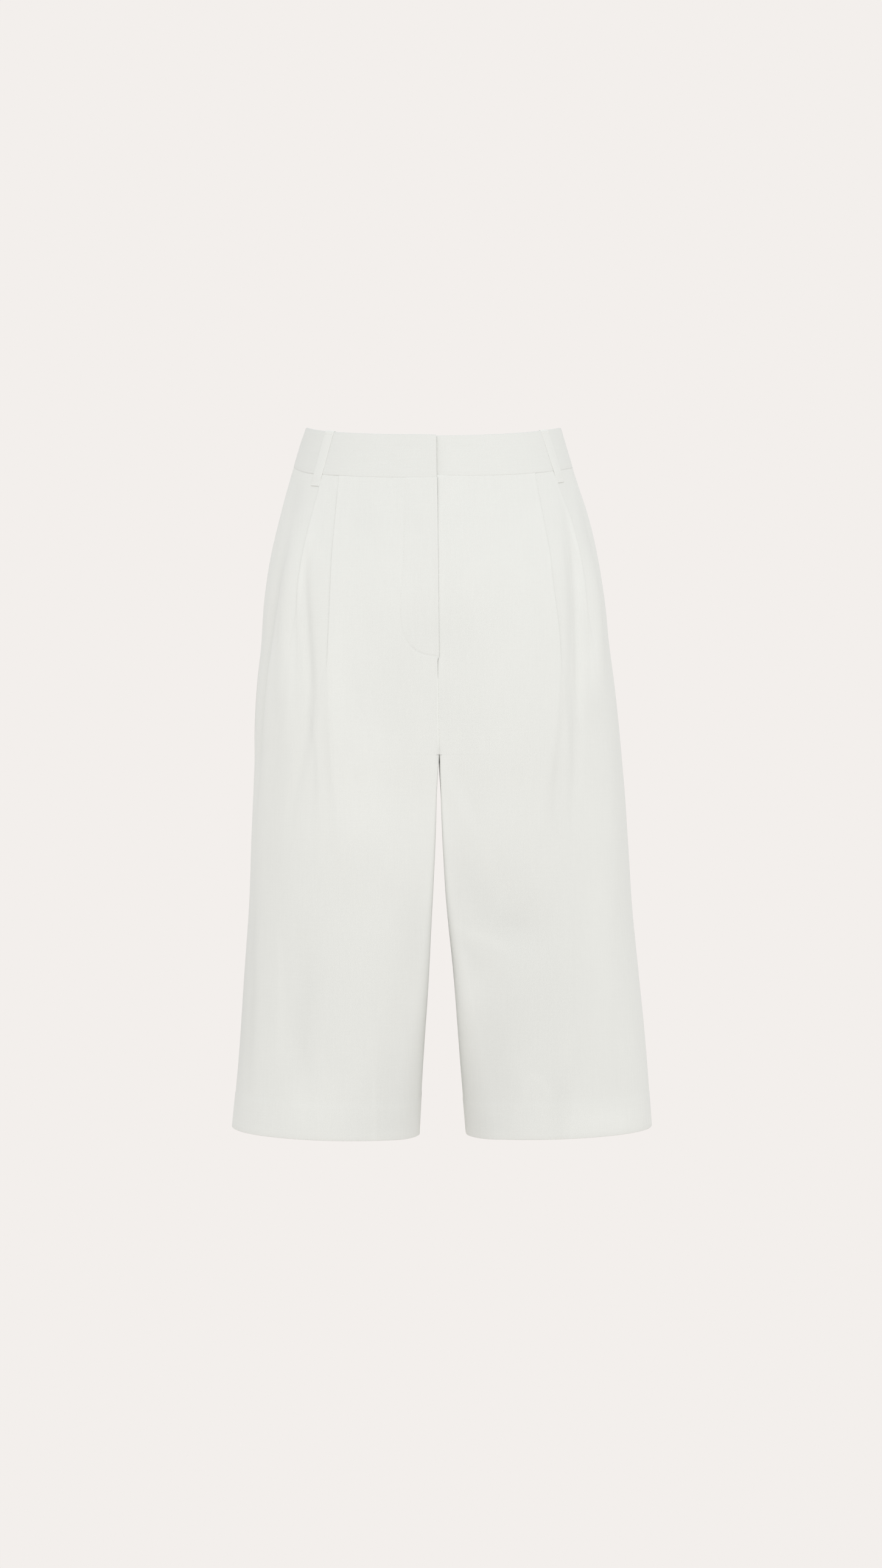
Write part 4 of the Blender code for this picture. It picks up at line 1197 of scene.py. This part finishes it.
def add_threads(name, lines, material):
    """Short threads, each through its points, as one mesh of thin tubes with narrow ends."""
    points, quads, angle = [], [], np.linspace(0, 2 * math.pi, THREAD_SIDES, endpoint=False)
    for line in lines:
        line = np.array(line)
        tangent = np.gradient(line, axis=0)
        tangent /= np.linalg.norm(tangent, axis=1, keepdims=True)
        across = np.cross(tangent, (0.31, 0.9, 0.29))
        across /= np.linalg.norm(across, axis=1, keepdims=True)
        over = np.cross(across, tangent)
        radius = THREAD_RADIUS * np.sin(np.linspace(0.25, math.pi - 0.25, len(line))) ** 0.5
        base = sum(len(ring) for ring in points)
        for k in range(len(line)):
            ring = np.cos(angle)[:, None] * across[k] + np.sin(angle)[:, None] * over[k]
            points.append(line[k] + radius[k] * ring)
        for k in range(len(line) - 1):
            for i in range(THREAD_SIDES):
                j = (i + 1) % THREAD_SIDES
                a = base + k * THREAD_SIDES
                quads.append((a + i, a + j, a + THREAD_SIDES + j, a + THREAD_SIDES + i))
        last = base + (len(line) - 1) * THREAD_SIDES
        quads.append(tuple(base + i for i in reversed(range(THREAD_SIDES))))
        quads.append(tuple(last + i for i in range(THREAD_SIDES)))
    mesh = bpy.data.meshes.new(name)
    mesh.from_pydata((np.concatenate(points) * MM).tolist(), [], quads)
    mesh.polygons.foreach_set("use_smooth", np.ones(len(quads), bool))
    mesh.materials.append(material)
    threads = bpy.data.objects.new(name, mesh)
    bpy.context.scene.collection.objects.link(threads)
    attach(threads, "root")


def add_fly_stitches(material):
    """The row of stitches that holds the fly's facing, down beside the centre and round to it."""
    path = smooth_path(STITCHED["front_right"], 400)
    lengths = np.concatenate([[0], np.cumsum(np.hypot(*np.diff(path, axis=0).T))])
    lines = []
    for start in np.arange(1.0, lengths[-1] - 4, STITCH_PITCH):
        line = []
        for place in start + np.linspace(0, STITCH_LENGTH, 5):
            across, drop = (np.interp(place, lengths, path[:, i]) for i in (0, 1))
            outline = Outline.at(drop, RIGHT)
            depth = relief("front_right", np.array([across]), np.array([drop]))[0]
            sunk = STITCH_ENDS_SINK * abs(2 * (place - start) / STITCH_LENGTH - 1) ** 2
            along = np.asarray(across + outline.flat_front)
            line.append(outline.place(along, np.asarray(depth - SHELL / 2 + sunk - STITCH_LIES_ABOVE)))
        lines.append(line)
    add_threads("fly_stitches", lines, material)


# ---------------------------------------------------------------- behind the fly

FLY_LAYER = 1.65
FLY_TOP = BAND_HEIGHT + 1.1
FACING_EDGES, FACING_TURN, FACING_END = (0.8, 31.0), 173.0, 214.0
SHIELD_EDGES, ZIP_EDGES = (-10.0, 28.0), (-5.0, 19.0)
ZIP_LINE, TOOTH_PITCH = 11.25, 1.5
TOOTH_BACK, TOOTH_OVER, TOOTH_RISE = 0.7, 2.0, 0.75


def add_patch(name, drops, edges_at, depth, columns, material):
    """A flat piece of cloth behind the right front, which stands for a node."""
    grid, uv = [], []
    for drop in drops:
        near, far = edges_at(drop)
        t = np.linspace(0, 1, columns)
        alongs = near + (far - near) * t
        depths = depth + CLOTH_WAVE * noise(alongs / 9 + 20, np.full(columns, drop / 24 + 20), len(name))
        grid.append(Outline.at(drop, RIGHT).place(alongs, depths))
        uv.append(np.stack([alongs + 600, np.full(columns, drop)], -1))
    made = new_mesh(name + "_cloth", np.array(grid), np.array(uv), SHELL, material)
    face_outwards(made, leg_centres)
    finish_sheet(made, name)


def add_fly(cloth, tape):
    """What is behind the fly: the facing, the shield, the zip's tape and its teeth."""

    def facing_edges(drop):
        turned = ramp(drop, FACING_TURN, FACING_END)
        return FACING_EDGES[0], FACING_EDGES[1] * math.sqrt(1 - turned**2)

    down = np.linspace(FLY_TOP, 211.0, 60)
    higher, at = down[:-3], FLY_LAYER
    add_patch("fly_facing", down, facing_edges, at, 16, cloth)
    add_patch("zip_tape", higher, lambda drop: ZIP_EDGES, 3 * at, 14, tape)
    add_patch("fly_shield", higher, lambda drop: SHIELD_EDGES, 4 * at, 18, cloth)
    teeth = []
    for i, drop in enumerate(np.arange(FLY_TOP + 16, 200.0, TOOTH_PITCH)):
        reach = 1.0 if i % 2 else -1.0
        outline = Outline.at(drop, RIGHT)
        depth = 3 * FLY_LAYER - TOOTH_RISE
        ends = np.linspace(ZIP_LINE - TOOTH_BACK * reach, ZIP_LINE + TOOTH_OVER * reach, 4)
        teeth.append([outline.place(np.asarray(along), np.asarray(depth)) for along in ends])
    add_threads("zip_teeth", teeth, tape)


# ---------------------------------------------------------------- camera, floor and light

TARGET = Vector((6.9, 0.0, -309.5)) * MM
AZIMUTH = math.radians(-3)
DISTANCE = 2.6
FOCAL_PIXELS, FRAME_HEIGHT = 4642.86, 2576
BACKDROP = (0.8963, 0.8632, 0.8388)
FLOOR_HEIGHT, FLOOR_HALF = -1.05, 14.0
SENSOR = 36.0
KEY_AT, KEY_SIZE, KEY_POWER = (0.10, -1.7, 0.80), 1.3, 6.9

# How bright the surround is at the middle, and how much brighter it gets along each axis.
SURROUND, SURROUND_SLOPES = 0.932, {2: 0.11, 1: -0.035, 0: -0.005}


def add_camera():
    data = bpy.data.cameras.new("Camera")
    data.sensor_width = SENSOR
    data.lens = SENSOR * FOCAL_PIXELS / FRAME_HEIGHT
    data.clip_end = 30.0
    camera = bpy.data.objects.new("Camera", data)
    back = Vector((math.sin(AZIMUTH), -math.cos(AZIMUTH), 0.0))
    camera.location = TARGET + back * DISTANCE
    camera.rotation_euler = (-back).to_track_quat("-Z", "Y").to_euler()
    bpy.context.scene.collection.objects.link(camera)
    bpy.context.scene.camera = camera


def add_floor():
    """A pale floor as bright as the backdrop, so that the two run into each other."""
    mesh = bpy.data.meshes.new("floor")
    signs = ((-1, -1), (1, -1), (1, 1), (-1, 1))
    corners = [(x * FLOOR_HALF, y * FLOOR_HALF, FLOOR_HEIGHT) for x, y in signs]
    mesh.from_pydata(corners, [], [(0, 1, 2, 3)])
    floor = bpy.data.objects.new("floor", mesh)
    bpy.context.scene.collection.objects.link(floor)
    material = bpy.data.materials.new("pale_floor")
    material.use_nodes = True
    tree = material.node_tree
    tree.nodes.clear()
    glow = socket(tree, "ShaderNodeEmission", {"Color": (*BACKDROP, 1.0), "Strength": 1.0})
    output = tree.nodes.new("ShaderNodeOutputMaterial")
    tree.links.new(glow, output.inputs["Surface"])
    mesh.materials.append(material)


def add_light():
    """A white surround that is a little darker below and at the sides, and a wide lamp in front above."""
    scene = bpy.context.scene
    scene.view_settings.view_transform = "Standard"
    world = bpy.data.worlds.new("Studio")
    world.use_nodes = True
    scene.world = world
    tree = world.node_tree
    tree.nodes.clear()
    place = socket(tree, "ShaderNodeTexCoord", output=0)
    split = tree.nodes.new("ShaderNodeSeparateXYZ")
    tree.links.new(place, split.inputs[0])
    glow = SURROUND
    for axis, slope in SURROUND_SLOPES.items():
        glow = maths(tree, "MULTIPLY_ADD", split.outputs[axis], slope, glow)
    surround = socket(tree, "ShaderNodeBackground", {"Color": (0.985, 0.995, 1.0, 1.0), "Strength": glow})
    backdrop = socket(tree, "ShaderNodeBackground", {"Color": (*BACKDROP, 1.0), "Strength": 1.0})
    seen = socket(tree, "ShaderNodeLightPath")
    mixed = socket(tree, "ShaderNodeMixShader", {0: seen, 1: surround, 2: backdrop})
    output = tree.nodes.new("ShaderNodeOutputWorld")
    tree.links.new(mixed, output.inputs["Surface"])
    data = bpy.data.lights.new("Key", "AREA")
    data.shape = "DISK"
    data.size, data.energy = KEY_SIZE, KEY_POWER
    lamp = bpy.data.objects.new("Key", data)
    lamp.location = KEY_AT
    lamp.rotation_euler = (TARGET - Vector(KEY_AT)).to_track_quat("-Z", "Y").to_euler()
    scene.collection.objects.link(lamp)


def main():
    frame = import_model()
    add_camera()
    linen = cloth_material("linen", LINEN)
    thread = plain_material("thread", THREAD, 0.8, grain=0.06)
    tape = plain_material("zip_tape", TAPE, 0.75, grain=0.10)
    steel = plain_material("steel", STEEL, 0.36, metallic=1.0, grain=0.10)
    for word, side in (("right", RIGHT), ("left", LEFT)):
        add_panel(f"front_{word}", front_controls, FRONT_COUNTS, side, linen)
        add_panel(f"back_{word}", back_controls, BACK_COUNTS, side, linen)
        add_waistband(word, side, linen)
    for loop in BELT_LOOPS:
        add_belt_loop(loop, linen, thread)
    add_fly_stitches(thread)
    add_fly(linen, tape)
    for node in ("zip_slider", "waist_hook", "waist_bar"):
        for slot in frame["nodes"][node].material_slots:
            slot.material = steel
    add_floor()
    add_light()
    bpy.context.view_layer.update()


main()
